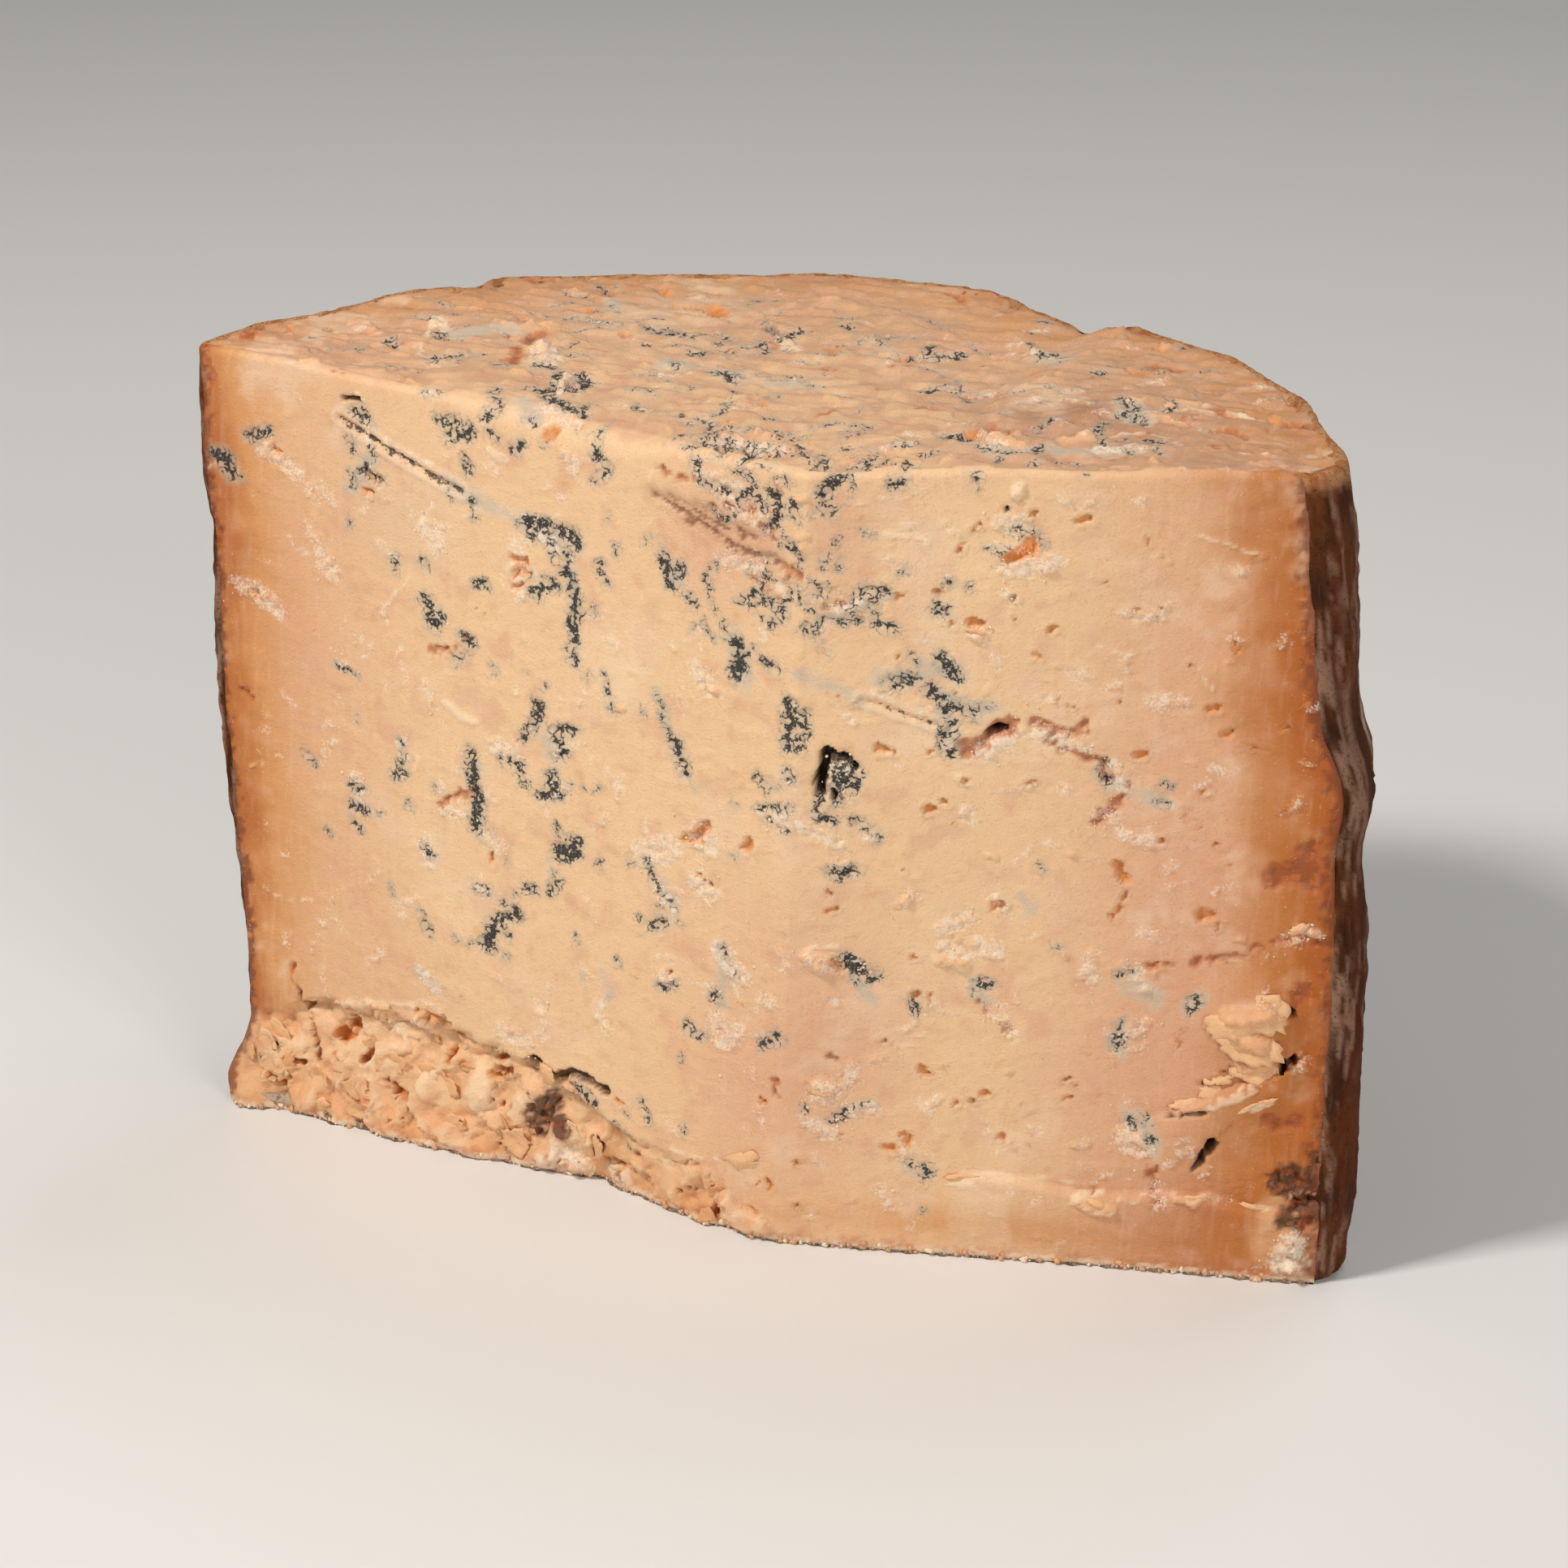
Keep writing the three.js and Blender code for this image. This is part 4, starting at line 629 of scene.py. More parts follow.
RUSTS = {
    "left": [
        (0.6, 0.9, 26.4, 133.2, 23, 132.4, 20.4, 133.4), (0.5, 0.8, 8.4, 127.6, 6, 126.6, 5, 125.4),
        (0.8, 0.8, 4.6, 121.8, 0.4, 120.4), (1.2, 0.9, 116.6, 136.4, 115.4, 133.4),
        (0.9, 0.8, 119, 125.8, 118.8, 124), (0.5, 0.9, 118.6, 115.8, 115.8, 117.4, 115.6, 120.4),
        (0.7, 1, 69, 66.6, 66, 67.8, 63.4, 69.4, 60.8, 70.4),
        (0.6, 0.9, 70, 94, 66.6, 94.6, 64, 96, 62.8, 97.4), (0.8, 0.7, 0.8, 31.4, 0.4, 28.6),
        (0.8, 0.6, 109.6, 78.2, 108.6, 77), (0.7, 0.6, 112.6, 71, 111.6, 70),
        (0.7, 0.6, 18, 128.6, 10, 130.2), (0.5, 0.7, 10, 119, 5, 116),
    ],
    "right": [
        (0.6, 0.9, 3.8, 115.6, 6.8, 116.4), (0.8, 0.9, 20, 118, 20.6, 118.4),
        (0.7, 0.8, 32.1, 118.6, 32.4, 118.3), (1.5, 1, 27, 92, 29.4, 93.4, 31.6, 95.2, 33.4, 96.6),
        (0.8, 0.8, 37, 97.2, 40, 96.2, 43, 95.4, 45.6, 96.8), (0.6, 0.8, 39.6, 94.6, 42, 93, 44.6, 92.6),
        (0.9, 1, 45.4, 91.8, 48, 91, 49.4, 88.4), (0.9, 0.9, 51, 84.4, 50.4, 82.6, 48, 80.4),
        (0.7, 0.8, 52.6, 87, 51.4, 84.6), (2.2, 1, 77.4, 73, 80, 73.4, 82.2, 74.6),
        (1.8, 1, 82, 77, 82.6, 71.4), (0.6, 0.9, 58, 55.6, 62, 56.2), (0.8, 0.9, 65.6, 57.2, 69.4, 58),
        (0.6, 1, 70.2, 58.4, 73, 58.7, 76.2, 60), (0.8, 0.8, 77.6, 61.6, 80, 62.4),
        (1.3, 0.8, 82.4, 63, 84.6, 61.4), (1.6, 0.9, 83.8, 52.4, 82.6, 51.4),
        (0.8, 0.9, 82.6, 41.2, 80.6, 38.6, 77.2, 36.4), (0.8, 0.9, 69.2, 35.4, 72, 36.4, 73.2, 39),
        (0.6, 0.7, 31.4, 48.2, 33.6, 45.8), (0.7, 0.6, 6.8, 36, 9.2, 35.2),
        (0.8, 0.7, 36.3, 44, 36.8, 42.8), (1, 0.5, 62, 19, 63, 16, 63.2, 13),
        (1.4, 0.9, 84.6, 29.4, 82, 28.6, 80, 30), (2, 1, 83.6, 18.8, 87.4, 17.6),
        (1.5, 1, 88, 16, 85.4, 13.6), (1, 0.9, 88.4, 12, 87, 10.6), (1.4, 0.8, 87, 25, 88, 23),
        (0.35, 0.7, 71.4, 25.4, 74, 28.4, 76.4, 30.2),
    ],
    "top": [
        (1.7, 0.9, -46.6, 48.4, -45.8, 43.6), (1.5, 0.9, -45.6, 40, -44.6, 32.4),
        (0.9, 0.7, -51, 46, -50, 44.4), (0.8, 0.6, -44, 63, -41, 62.6), (0.8, 0.7, -9, 60, -7.4, 57),
        (0.8, 0.7, 15.4, 51.8, 18.4, 53), (0.8, 0.8, 33, 41.6, 37.6, 44.2),
        (0.8, 0.8, 27.4, 31.4, 30.4, 31.8), (0.7, 0.7, 13, 25.4, 14.4, 27.2),
        (0.7, 0.9, 50.6, 23.4, 54, 25.2, 57, 27), (0.8, 0.8, 74.6, 36.8, 77, 36.8, 79.6, 34.6),
        (1.2, 0.7, 55.6, 67.8, 59.4, 67.2), (1.3, 0.8, 82, 44, 88.4, 43), (0.9, 0.6, -82, 40, -80, 38),
        (1.1, 0.6, 10, 97, 14, 94), (1.4, 0.7, -92, 31, -90.6, 27.6), (1.2, 0.6, 72, 46, 75, 44),
        (1, 0.6, 41, 27, 42, 23), (1, 0.7, -62, 78, -58, 79.4),
    ],
}

HOLES = {
    "left": [
        (1.1, 0.9, 50, 21, 47.6, 21.8, 46.2, 20.6), (0.8, 0.8, 45.4, 20.6, 43.6, 19.8),
        (0.9, 0.9, 43, 20.2, 40, 21.2, 36.4, 21, 33.8, 20.2),
        (0.6, 0.8, 88.6, 135.4, 87, 135.6, 85.2, 134.8), (0.9, 0.6, 94.4, 12.4, 94, 11),
        (1, 0.5, 97.4, 23, 96.8, 21),
    ],
    "right": [
        (0.9, 1, 4.6, 89.8, 4.3, 86, 4.2, 83.4), (1.1, 1, 4.8, 90, 7.4, 89.8),
        (0.6, 0.9, 8.4, 89, 9.6, 88.2), (0.6, 0.8, 6.2, 83.4, 6.8, 82.6), (0.45, 1, 68.8, 20, 70, 21.4),
        (0.7, 1, 70, 21.8, 71, 23.6, 71.4, 25.2), (0.8, 0.9, 81, 49.6, 81.8, 49.2),
        (0.4, 0.9, 63.6, 29.6, 66.2, 30.4, 69.6, 30.9), (0.4, 0.8, 69.4, 35.6, 71.6, 36.2),
        (0.8, 0.7, 30, 94.6, 32.4, 96), (0.4, 0.7, 86, 15.4, 89, 15),
        (0.7, 0.7, 30.6, 132.6, 30.8, 132.4), (0.6, 0.7, 82.4, 41, 80.8, 38.8),
    ],
    "top": [
        (0.9, 0.8, 36.4, 20.6, 38.4, 19.6), (0.7, 0.7, -12.6, 67.4, -8, 62),
        (0.7, 0.7, 56.4, 27.4, 52, 24), (0.8, 0.7, 7.4, 7, 8.6, 4), (0.7, 0.7, 2.6, 6, 4.4, 4.4),
    ],
}

# Raised edges, scratches and curls that catch the light, raised a little and painted pale as a painted
# highlight
LIT_EDGE_MARKS = {
    "left": [
        (0.5, 0.7, 80, 100.2, 77, 103, 74.6, 106.6), (0.8, 0.8, 67, 85.4, 64.4, 83.6, 61.2, 83),
        (0.6, 0.6, 40.2, 106, 38.6, 105.6, 37, 106), (0.6, 0.5, 106, 41.6, 101.4, 41.2, 95, 41.8),
        (0.6, 0.6, 89, 135.6, 86, 136.4, 84, 135), (0.8, 0.6, 95, 22, 88, 24, 80, 25.4, 73, 26),
        (0.7, 0.7, 52.6, 116.6, 51.4, 116), (0.9, 0.6, 60, 131, 56, 129.4),
        (0.6, 0.6, 117.4, 117.4, 114.6, 119.6), (0.8, 0.5, 20, 13, 10, 12.2),
    ],
    "right": [
        (0.35, 0.8, 31, 16.6, 36, 16, 40, 16.3, 45, 16, 50, 15.6),
        (0.4, 0.9, 50.4, 13.6, 52, 11.8, 55, 10.8, 56.6, 11.6),
        (0.35, 0.7, 56, 13.2, 60, 13.6, 63, 16, 66, 15.4), (0.4, 0.8, 66, 15.2, 69.4, 14, 72.4, 15.4),
        (0.6, 0.6, 79, 13.6, 84.6, 13.2), (0.7, 0.8, 50, 13, 54, 14.4), (0.9, 0.9, 77, 31.6, 79.4, 33.4),
        (0.9, 0.7, 70, 31.6, 74, 33.4, 77, 36), (0.7, 0.6, 10, 127.6, 14, 127.2, 19, 126.4),
        (0.5, 0.5, 7, 132.4, 12, 133.6, 20, 134, 26, 132.6), (1.3, 0.7, 32, 135.8, 32.4, 136.4),
        (0.6, 0.7, 69.4, 57.8, 76, 59.4), (0.9, 0.8, 29, 14, 33, 14.2), (0.6, 0.6, 60, 129, 70, 126.6),
        (0.6, 0.6, 62.6, 107.4, 65, 104.6), (0.7, 0.7, 24.6, 54.4, 29, 53.8),
        (0.7, 0.7, 3, 54.6, 5, 56, 8, 55.6), (0.5, 0.6, 36.8, 20, 37.6, 17),
    ],
    "top": [
        (0.8, 0.6, -66, 48, -60, 30), (0.7, 0.6, 60, 28, 70, 30), (0.8, 0.5, 72, 46, 80, 44),
        (0.8, 0.5, 42, 44, 55, 42),
    ],
}

# Straight cuts left by a needle or a wire, kept free of the noise that breaks up the other marks
TRACKS = {
    "left": [
        (0.5, 1, 89, 131.5, 85, 129.8, 80, 127.8, 75, 126, 70, 124.2, 65, 122.8),
    ],
    "right": [
        (0.35, 0.8, 10, 100, 14, 98.9, 18, 97.4, 22, 96.2),
    ],
    "top": [],
}

GROOVES = {
    "left": [
        (0.45, 1, 28, 129, 25, 128, 22, 127, 19, 125.6, 16, 124.6, 13, 123.2, 9, 122.4, 5, 122),
        (0.25, 1, 25, 129.2, 20, 127.6, 15, 125.8, 11, 124.6), (0.2, 1, 20, 128.6, 14, 126.6, 9, 125.2),
        (0.2, 1, 22, 125.8, 16, 123.4, 11, 121.8),
    ],
    "right": [],
    "top": [],
}

FUZZY = {
    "left": [
        (2.4, 1, 45.6, 14, 47.4, 11.4, 48.4, 8.6), (1.9, 0.9, 46, 11.6, 44, 9.4),
        (0.9, 0.9, 43.4, 12, 42, 10),
    ],
    "right": [
        (1, 0.6, 88, 9, 87, 5), (2.6, 1.6, 83.6, 18.8, 87.8, 17.6), (2.3, 1.5, 88, 14, 85.2, 12.4),
        (1.1, 0.9, 88, 24, 87.4, 20),
    ],
    "top": [],
}

# Lumps of curd or mould that stand up inside a hole or along the rim
LUMPS = {
    "left": [
        (1.9, 1, 47, 2, 44.6, 3.6, 41.4, 2.6), (1.3, 0.9, 34, 2.2, 30.4, 3), (0.9, 0.8, 56, 0.8, 50, 0.8),
    ],
    "right": [
        (1.6, 1, 86.6, 8.2, 85.8, 6.4), (1.7, 0.9, 84.6, 3.2, 88, 3),
    ],
    "top": [
        (1.2, 1, -57.6, 80.2, -57.4, 79), (1, 0.9, -38.8, 90.4, -38.6, 89), (2.6, 0.9, 44, 82.6, 46, 82),
    ],
}

# Ragged plates of curd that stand proud of the surface
PLATES = {
    "left": [
        (2.2, 1, 80, 23, 88, 22.4), (1.6, 1, 60, 21, 64, 21.6), (1.8, 1, 48, 16.4, 52, 18),
        (1.4, 1, 84, 8, 82, 5), (2, 1, 57, 8, 61, 6),
    ],
    "right": [
        (2.4, 0.9, 73, 48, 79, 49), (2, 0.9, 72, 45, 78, 43), (1.6, 0.9, 75.6, 38.8, 79, 39),
        (1.4, 0.9, 51, 12.6, 53.4, 11.6, 55.4, 11.6), (0.8, 0.9, 66.4, 14.6, 69.4, 13.8, 72, 15),
        (1, 0.8, 26, 111.8, 28.4, 111.4), (1.6, 0.6, 3.4, 54, 6, 53.4), (1.3, 0.6, 6, 30.4, 9, 30),
        (1.2, 0.7, 56.4, 26, 60, 24), (1, 0.7, 25.4, 55, 29, 54.6), (1.2, 0.7, 82, 63.6, 84, 63.4),
        (0.9, 0.7, 17.8, 64.6, 19, 66), (1.4, 0.9, 85, 7, 87.6, 5), (0.9, 0.9, 84.6, 3, 86, 2.6),
        (0.9, 0.7, 31.6, 135.6, 32.6, 136),
    ],
    "top": [
        (1.4, 0.9, -42, 40.6, -40, 35.6), (1.7, 0.9, -32.2, 27.6, -30.6, 22),
        (1.8, 0.8, 43, 21.6, 47, 20), (1.4, 0.7, 3, 11, 7, 9), (1.4, 0.7, 11, 6, 15, 7.4),
        (1.6, 0.7, 53, 24, 57, 25.6), (1.4, 0.6, -8, 62, -5, 59), (1.5, 0.7, -26, 12, -22, 10),
    ],
}

# Small marks too many to place one by one: kind, surface, how many,
# low and high corner, lengths, lean, half widths
SPREADS = (
    ("amber", "right", 60, (2, 4), (82, 134), (0.6, 3.2), (0, 30), (0.15, 0.4)),
    ("white", "right", 120, (1, 2), (84, 136), (0.4, 3.6), (8, 40), (0.3, 0.9)),
    ("pale", "right", 34, (4, 6), (80, 132), (1.5, 6), (6, 22), (0.15, 0.3)),
    ("white", "left", 130, (1, 16), (112, 136), (0.4, 4.2), (70, 30), (0.3, 0.8)),
    ("pale", "left", 26, (4, 26), (108, 134), (1.5, 5), (60, 50), (0.15, 0.3)),
    ("amber", "left", 16, (4, 26), (104, 132), (0.4, 1.6), (40, 50), (0.12, 0.3)),
    ("vein", "left", 30, (6, 30), (92, 136), (0.4, 1.6), (90, 40), (0.1, 0.3)),
    ("vein", "top", 110, (-74, 6), (70, 80), (1, 7), (12, 26), (0.08, 0.3)),
    ("plate", "top", 70, (-80, 3), (84, 88), (1, 6), (12, 24), (0.3, 1.1)),
    ("plate", "top", 26, (-8, 1), (32, 14), (1, 4), (10, 40), (0.4, 1)),
    ("vein", "left", 14, (0.5, 110), (10, 136), (0.8, 3), (80, 40), (0.1, 0.35)),
    ("vein", "right", 12, (0.5, 108), (10, 136), (0.8, 3), (80, 40), (0.1, 0.35)),
    ("plate", "left", 12, (0.5, 112), (9, 134), (0.6, 2.4), (60, 50), (0.3, 0.7)),
    ("plate", "left", 26, (4, 26), (112, 134), (0.5, 2.4), (20, 60), (0.2, 0.6)),
    ("plate", "right", 40, (3, 4), (82, 134), (0.5, 3), (10, 40), (0.2, 0.6)),
    ("vein", "top", 34, (-6, 1), (34, 16), (0.8, 4), (10, 40), (0.2, 0.5)),
    ("rust", "top", 60, (-80, 6), (84, 88), (0.8, 6), (14, 20), (0.12, 0.4)),
    ("white", "top", 110, (-84, 3), (88, 90), (0.5, 4.6), (14, 26), (0.3, 0.9)),
    ("pale", "top", 50, (-84, 3), (88, 90), (2, 9), (14, 12), (0.15, 0.35)),
    ("amber", "left", 26, (2, 1), (108, 14), (0.8, 3), (30, 60), (0.2, 0.6)),
)

ALL_MARKS = {
    "vein": VEINS, "smear": SMEARS, "white": WHITES, "amber": AMBERS, "rust": RUSTS, "hole": HOLES,
    "pale": LIT_EDGE_MARKS, "fuzzy": FUZZY, "lump": LUMPS, "plate": PLATES, "track": TRACKS, "groove": GROOVES,
}
# Marks with smooth outlines, and how far outside a mark its field ends
UNBROKEN = ("track", "groove")
FAR_OUTSIDE = -3.0


def spread_strokes(random, count, low, high, lengths, lean, widths):
    """Short bent strokes at random places between two corners of a surface."""
    strokes = []
    for _ in range(count):
        across, up = random.uniform(low, high)
        turn = math.radians(random.normal(*lean))
        reach = random.uniform(*lengths) / 2
        bend = random.normal(0, 0.3) * reach
        run = (reach * math.cos(turn), reach * math.sin(turn))
        middle = (across - bend * math.sin(turn), up + bend * math.cos(turn))
        strokes.append((random.uniform(*widths), random.uniform(0.6, 1.0), across - run[0], up - run[1],
                        *middle, across + run[0], up + run[1]))
    return strokes


def add_spreads(marks):
    random = np.random.default_rng(23)
    full = {}
    for kind, sides in marks.items():
        full[kind] = {side: list(strokes) for side, strokes in sides.items()}
    for kind, side, *rule in SPREADS:
        full[kind][side] += spread_strokes(random, *rule)
    return full


def stroke_points(surface, numbers):
    pairs = np.array(numbers, float).reshape(-1, 2)
    if surface == "top":
        return np.column_stack([pairs, top_height(pairs[:, 0], pairs[:, 1])])
    x, y = face_point(surface, pairs[:, 0], pairs[:, 1])
    return np.column_stack([x, y, pairs[:, 1]])


def segment_distance(points, start, end):
    line = end - start
    length = max(float(line @ line), 1e-9)
    along = np.clip((points - start) @ line / length, 0, 1)
    return np.linalg.norm(points - start - along[:, None] * line, axis=1)


def mark_field(points, marks):
    """How far inside a mark each point is, in millimetres: positive inside, negative outside."""
    field = np.full(len(points), FAR_OUTSIDE)
    for surface, strokes in marks.items():
        for half_width, strength, *numbers in strokes:
            line = stroke_points(surface, numbers)
            low = line.min(axis=0) - half_width + FAR_OUTSIDE
            high = line.max(axis=0) + half_width - FAR_OUTSIDE
            near = np.nonzero(((points > low) & (points < high)).all(axis=1))[0]
            if not len(near):
                continue
            distance = np.full(len(near), 9.0)
            for start, end in zip(line[:-1], line[1:]):
                distance = np.minimum(distance, segment_distance(points[near], start, end))
            value = half_width - distance - (1 - strength) * 0.6
            field[near] = np.maximum(field[near], value)
    return field


def warped(points):
    """Points pushed about, so that marks get ragged outlines."""
    pushed = points.copy()
    for size, reach, seed in ((5.0, 0.8, 11), (2.2, 0.55, 14), (1.1, 0.3, 17)):
        shift = np.column_stack([noise(points, size, seed + k) for k in range(3)])
        pushed += reach * shift
    return pushed


def fields_at(points):
    marks = add_spreads(ALL_MARKS)
    pushed = warped(points)
    return {kind: mark_field(points if kind in UNBROKEN else pushed, marks[kind]) for kind in marks}


# Building meshes


def zip_strips(first, second):
    """Triangles that join two rows of vertices with different counts."""
    faces = []
    i = 0
    j = 0
    while i < len(first) - 1 or j < len(second) - 1:
        ahead = (i + 1) / max(len(first) - 1, 1) <= (j + 1) / max(len(second) - 1, 1)
        if j == len(second) - 1 or (i < len(first) - 1 and ahead):
            faces.append((int(first[i]), int(first[i + 1]), int(second[j])))
            i += 1
        else:
            faces.append((int(first[i]), int(second[j + 1]), int(second[j])))
            j += 1
    return faces


def grid_faces(index):
    quads = np.stack([index[:-1, :-1], index[:-1, 1:], index[1:, 1:], index[1:, :-1]], axis=-1)
    return [tuple(quad) for quad in quads.reshape(-1, 4).tolist()]


class Builder:
    """Collects points and faces, and the place of each point on its surface."""

    def __init__(self):
        self.points = []
        self.places = []
        self.faces = []
        self.count = 0

    def add(self, points, places):
        first = self.count
        shape = points.shape[:-1]
        self.points.append(np.asarray(points, float).reshape(-1, 3))
        self.places.append(np.asarray(places, float).reshape(-1, 3))
        self.count += len(self.points[-1])
        return np.arange(first, self.count).reshape(shape)

    def arrays(self):
        return np.concatenate(self.points), np.concatenate(self.places)


def edge_round(radius, share):
    turn = share * math.pi / 2
    return radius * (1 - np.cos(turn)), radius * (1 - np.sin(turn))


def front_columns():
    """Side and share of each column of the front, from the left end over the apex to the right end."""
    left = int(face_length("left", HEIGHT) / FACE_CELL)
    right = int(face_length("right", HEIGHT) / FACE_CELL)
    columns = [("left", 1 - k / left) for k in range(left)]
    return columns + [("right", k / right) for k in range(right + 1)]


def top_edge_radius(side, x):
    worn = bump(x, -22, 24) if side == "left" else 0.0
    return EDGE_ROUND_TOP + EDGE_ROUND_WORN * worn


def paste_column(side, share, back):
    """One column of the paste: up a cut side, round the top edge, and across the top to the rim."""
    rim_x, rim_y = face_point(side, share * face_length(side, HEIGHT), HEIGHT)
    top = top_height(rim_x, rim_y)
    radius = top_edge_radius(side, rim_x)
    foot_inset, foot_z = edge_round(EDGE_ROUND_FOOT, np.linspace(0.9, 0.2, 5))
    body_z = np.linspace(EDGE_ROUND_FOOT, top - radius, int(HEIGHT / FACE_CELL))
    top_inset, top_drop = edge_round(radius, np.linspace(0.15, 1, 7))
    z = np.concatenate([foot_z, body_z, top - top_drop])
    inset = np.concatenate([foot_inset, np.zeros(len(body_z)), top_inset])
    distance = share * face_length(side, z)
    x, y = face_point(side, distance, z, inset)
    sign = -1 if side == "left" else 1
    face = np.column_stack([x, y, z])
    face_places = np.column_stack([sign * distance, z, np.zeros(len(z))])
    across = np.linspace(0, 1, TOP_ROWS + 1)[1:]
    top_x = mix(x[-1], back[0], across)
    top_y = mix(y[-1], back[1], across)
    cover = np.column_stack([top_x, top_y, top_height(top_x, top_y)])
    cover_places = np.column_stack([top_x, top_y, np.ones(TOP_ROWS)])
    return np.concatenate([face, cover]), np.concatenate([face_places, cover_places])


def towards_inside(x, y, distance):
    dx = INSIDE[0] - x
    dy = INSIDE[1] - y
    length = np.hypot(dx, dy)
    return x + dx / length * distance, y + dy / length * distance


def back_rows(count):
    """The hidden back of the paste, inside the rind, from the left end to the right end and downwards."""
    share = np.linspace(1 - BACK_GAP, BACK_GAP, count)[:, None]
    below_top = np.array((0, 1.5, 5, 10, 16, 22, 30, 60, 100, HEIGHT - 0.6))
    z = HEIGHT - below_top[None, :] + 0 * share
    x, y, angle = rind_point(share + 0 * z, z)
    inset = np.where(z > HEIGHT - 1, PASTE_INSET, HIDDEN_INSET + chip_clearance(angle, z))
    x, y = towards_inside(x, y, inset)
    return np.stack([x, y, z], axis=-1)


def chip_clearance(angle, z):
    """Extra distance inwards behind the broken rim, so that nothing hidden shows through it."""
    return 5 * bump(angle, RIM_CHIP_START + 2, 9) * smooth(z, HEIGHT - 45, HEIGHT - 15)


def paste_shape():
    builder = Builder()
    columns = front_columns()
    back_points = back_rows(len(columns))
    shapes = [paste_column(side, share, back) for (side, share), back in zip(columns, back_points[:, 0])]
    front_points = np.stack([points for points, _ in shapes])
    front_places = np.stack([places for _, places in shapes])
    front = builder.add(front_points, front_places)
    below = builder.add(back_points[:, 1:], np.zeros_like(back_points[:, 1:]))
    builder.faces += grid_faces(front)
    builder.faces += grid_faces(np.concatenate([front[:, -1:], below], axis=1))
    builder.faces += zip_strips(front[0], below[0, ::-1])
    builder.faces += zip_strips(front[-1], below[-1, ::-1])
    ring = np.concatenate([front[:, 0], below[::-1, -1]])
    fill_base(builder, ring)
    return builder


def fill_base(builder, ring):
    """Closes the hidden base of the paste."""
    points, _ = builder.arrays()
    plan = [Vector(point) for point in points[ring, :2]]
    edges = [(k, (k + 1) % len(ring)) for k in range(len(ring))]
    _, _, faces, origins, *_ = delaunay_2d_cdt(plan, edges, [], 1, 1e-6)
    builder.faces += [tuple(int(ring[origins[v][0]]) for v in face) for face in faces]


def make_object(name, points, faces):
    """A closed mesh in the frame, in metres, with its faces turned outwards."""
    mesh = bpy.data.meshes.new(name)
    mesh.from_pydata(place_in_frame(points).tolist(), [], faces)
    shape = bmesh.new()
    shape.from_mesh(mesh)
    bmesh.ops.recalc_face_normals(shape, faces=shape.faces)
    shape.to_mesh(mesh)
    shape.free()
    mesh.polygons.foreach_set("use_smooth", [True] * len(mesh.polygons))
    piece = bpy.data.objects.new(name, mesh)
    bpy.context.scene.collection.objects.link(piece)
    return piece


def place_in_frame(points):
    return (points + np.array((AXIS_X, AXIS_Y, 0.0))) * MM


def vertex_normals(mesh):
    normals = np.empty(len(mesh.vertices) * 3)
    mesh.vertex_normals.foreach_get("vector", normals)
    return normals.reshape(-1, 3)


def move_vertices(piece, points):
    piece.data.vertices.foreach_set("co", place_in_frame(points).ravel())
    piece.data.update()


def store(piece, name, values):
    """Keeps a number, a vector or a colour for every vertex, for the materials to read."""
    values = np.asarray(values, float)
    kind, field = ("FLOAT", "value") if values.ndim == 1 else ("FLOAT_VECTOR", "vector")
    attribute = piece.data.attributes.new(name, kind, "POINT")
    attribute.data.foreach_set(field, values.ravel().astype(np.float32))


# Paste


def torn_share(points, places):
    """How much of the torn band's rough texture a point has."""
    distance = -places[:, 0]
    on_left = (places[:, 0] < 0) & (places[:, 2] < 0.5)
    edge = torn_limit(distance) + 1.4 * noise(points, 7, 3) + 0.8 * noise(points, 2.4, 4)
    band = smooth(edge - places[:, 1], 0, 1.0) * on_left
    on_right = (places[:, 0] >= 0) & (places[:, 2] < 0.5)
    corner = smooth(11 - np.hypot(places[:, 0] - 88, places[:, 1] - 9) + 2 * noise(points, 4, 9), 0, 3)
    return np.clip(band + on_right * 0.6 * corner, 0, 1)


def petal_height(points, places, torn):
    """Overlapping scales of torn curd, each rising to a sharp curved edge."""
    random = np.random.default_rng(31)
    height = np.zeros(len(points))
    band = np.nonzero((torn > 0.02) & (places[:, 0] < 0))[0]
    along = -places[band, 0]
    z = places[band, 1]
    ragged = 0.28 * noise(points[band], 1.6, 33)
    best = np.zeros(len(band))
    for _ in range(PETALS):
        centre = random.uniform(0, 113)
        level = random.uniform(0, torn_limit(centre) + 1)
        size = 1.2 + 5.0 * random.random() ** 1.8
        width = size * random.uniform(0.5, 1.0)
        turn = math.radians(random.normal(-50, 55))
        lift = size * random.uniform(0.08, 0.2)
        near = np.nonzero((np.abs(along - centre) < size) & (np.abs(z - level) < size))[0]
        ahead = ((along[near] - centre) * math.cos(turn) + (z[near] - level) * math.sin(turn)) / size
        aside = ((z[near] - level) * math.cos(turn) - (along[near] - centre) * math.sin(turn)) / width
        lead = ahead + 0.5 * aside**2 + ragged[near]
        inside = (lead < 0.5) & (np.abs(aside) < 1)
        climb = np.clip((lead + 1) / 1.5, 0, 1) ** 1.7 * np.sqrt(np.clip(1 - aside**2, 0, 1))
        best[near] = np.maximum(best[near], lift * climb * inside)
    height[band] = best
    return height


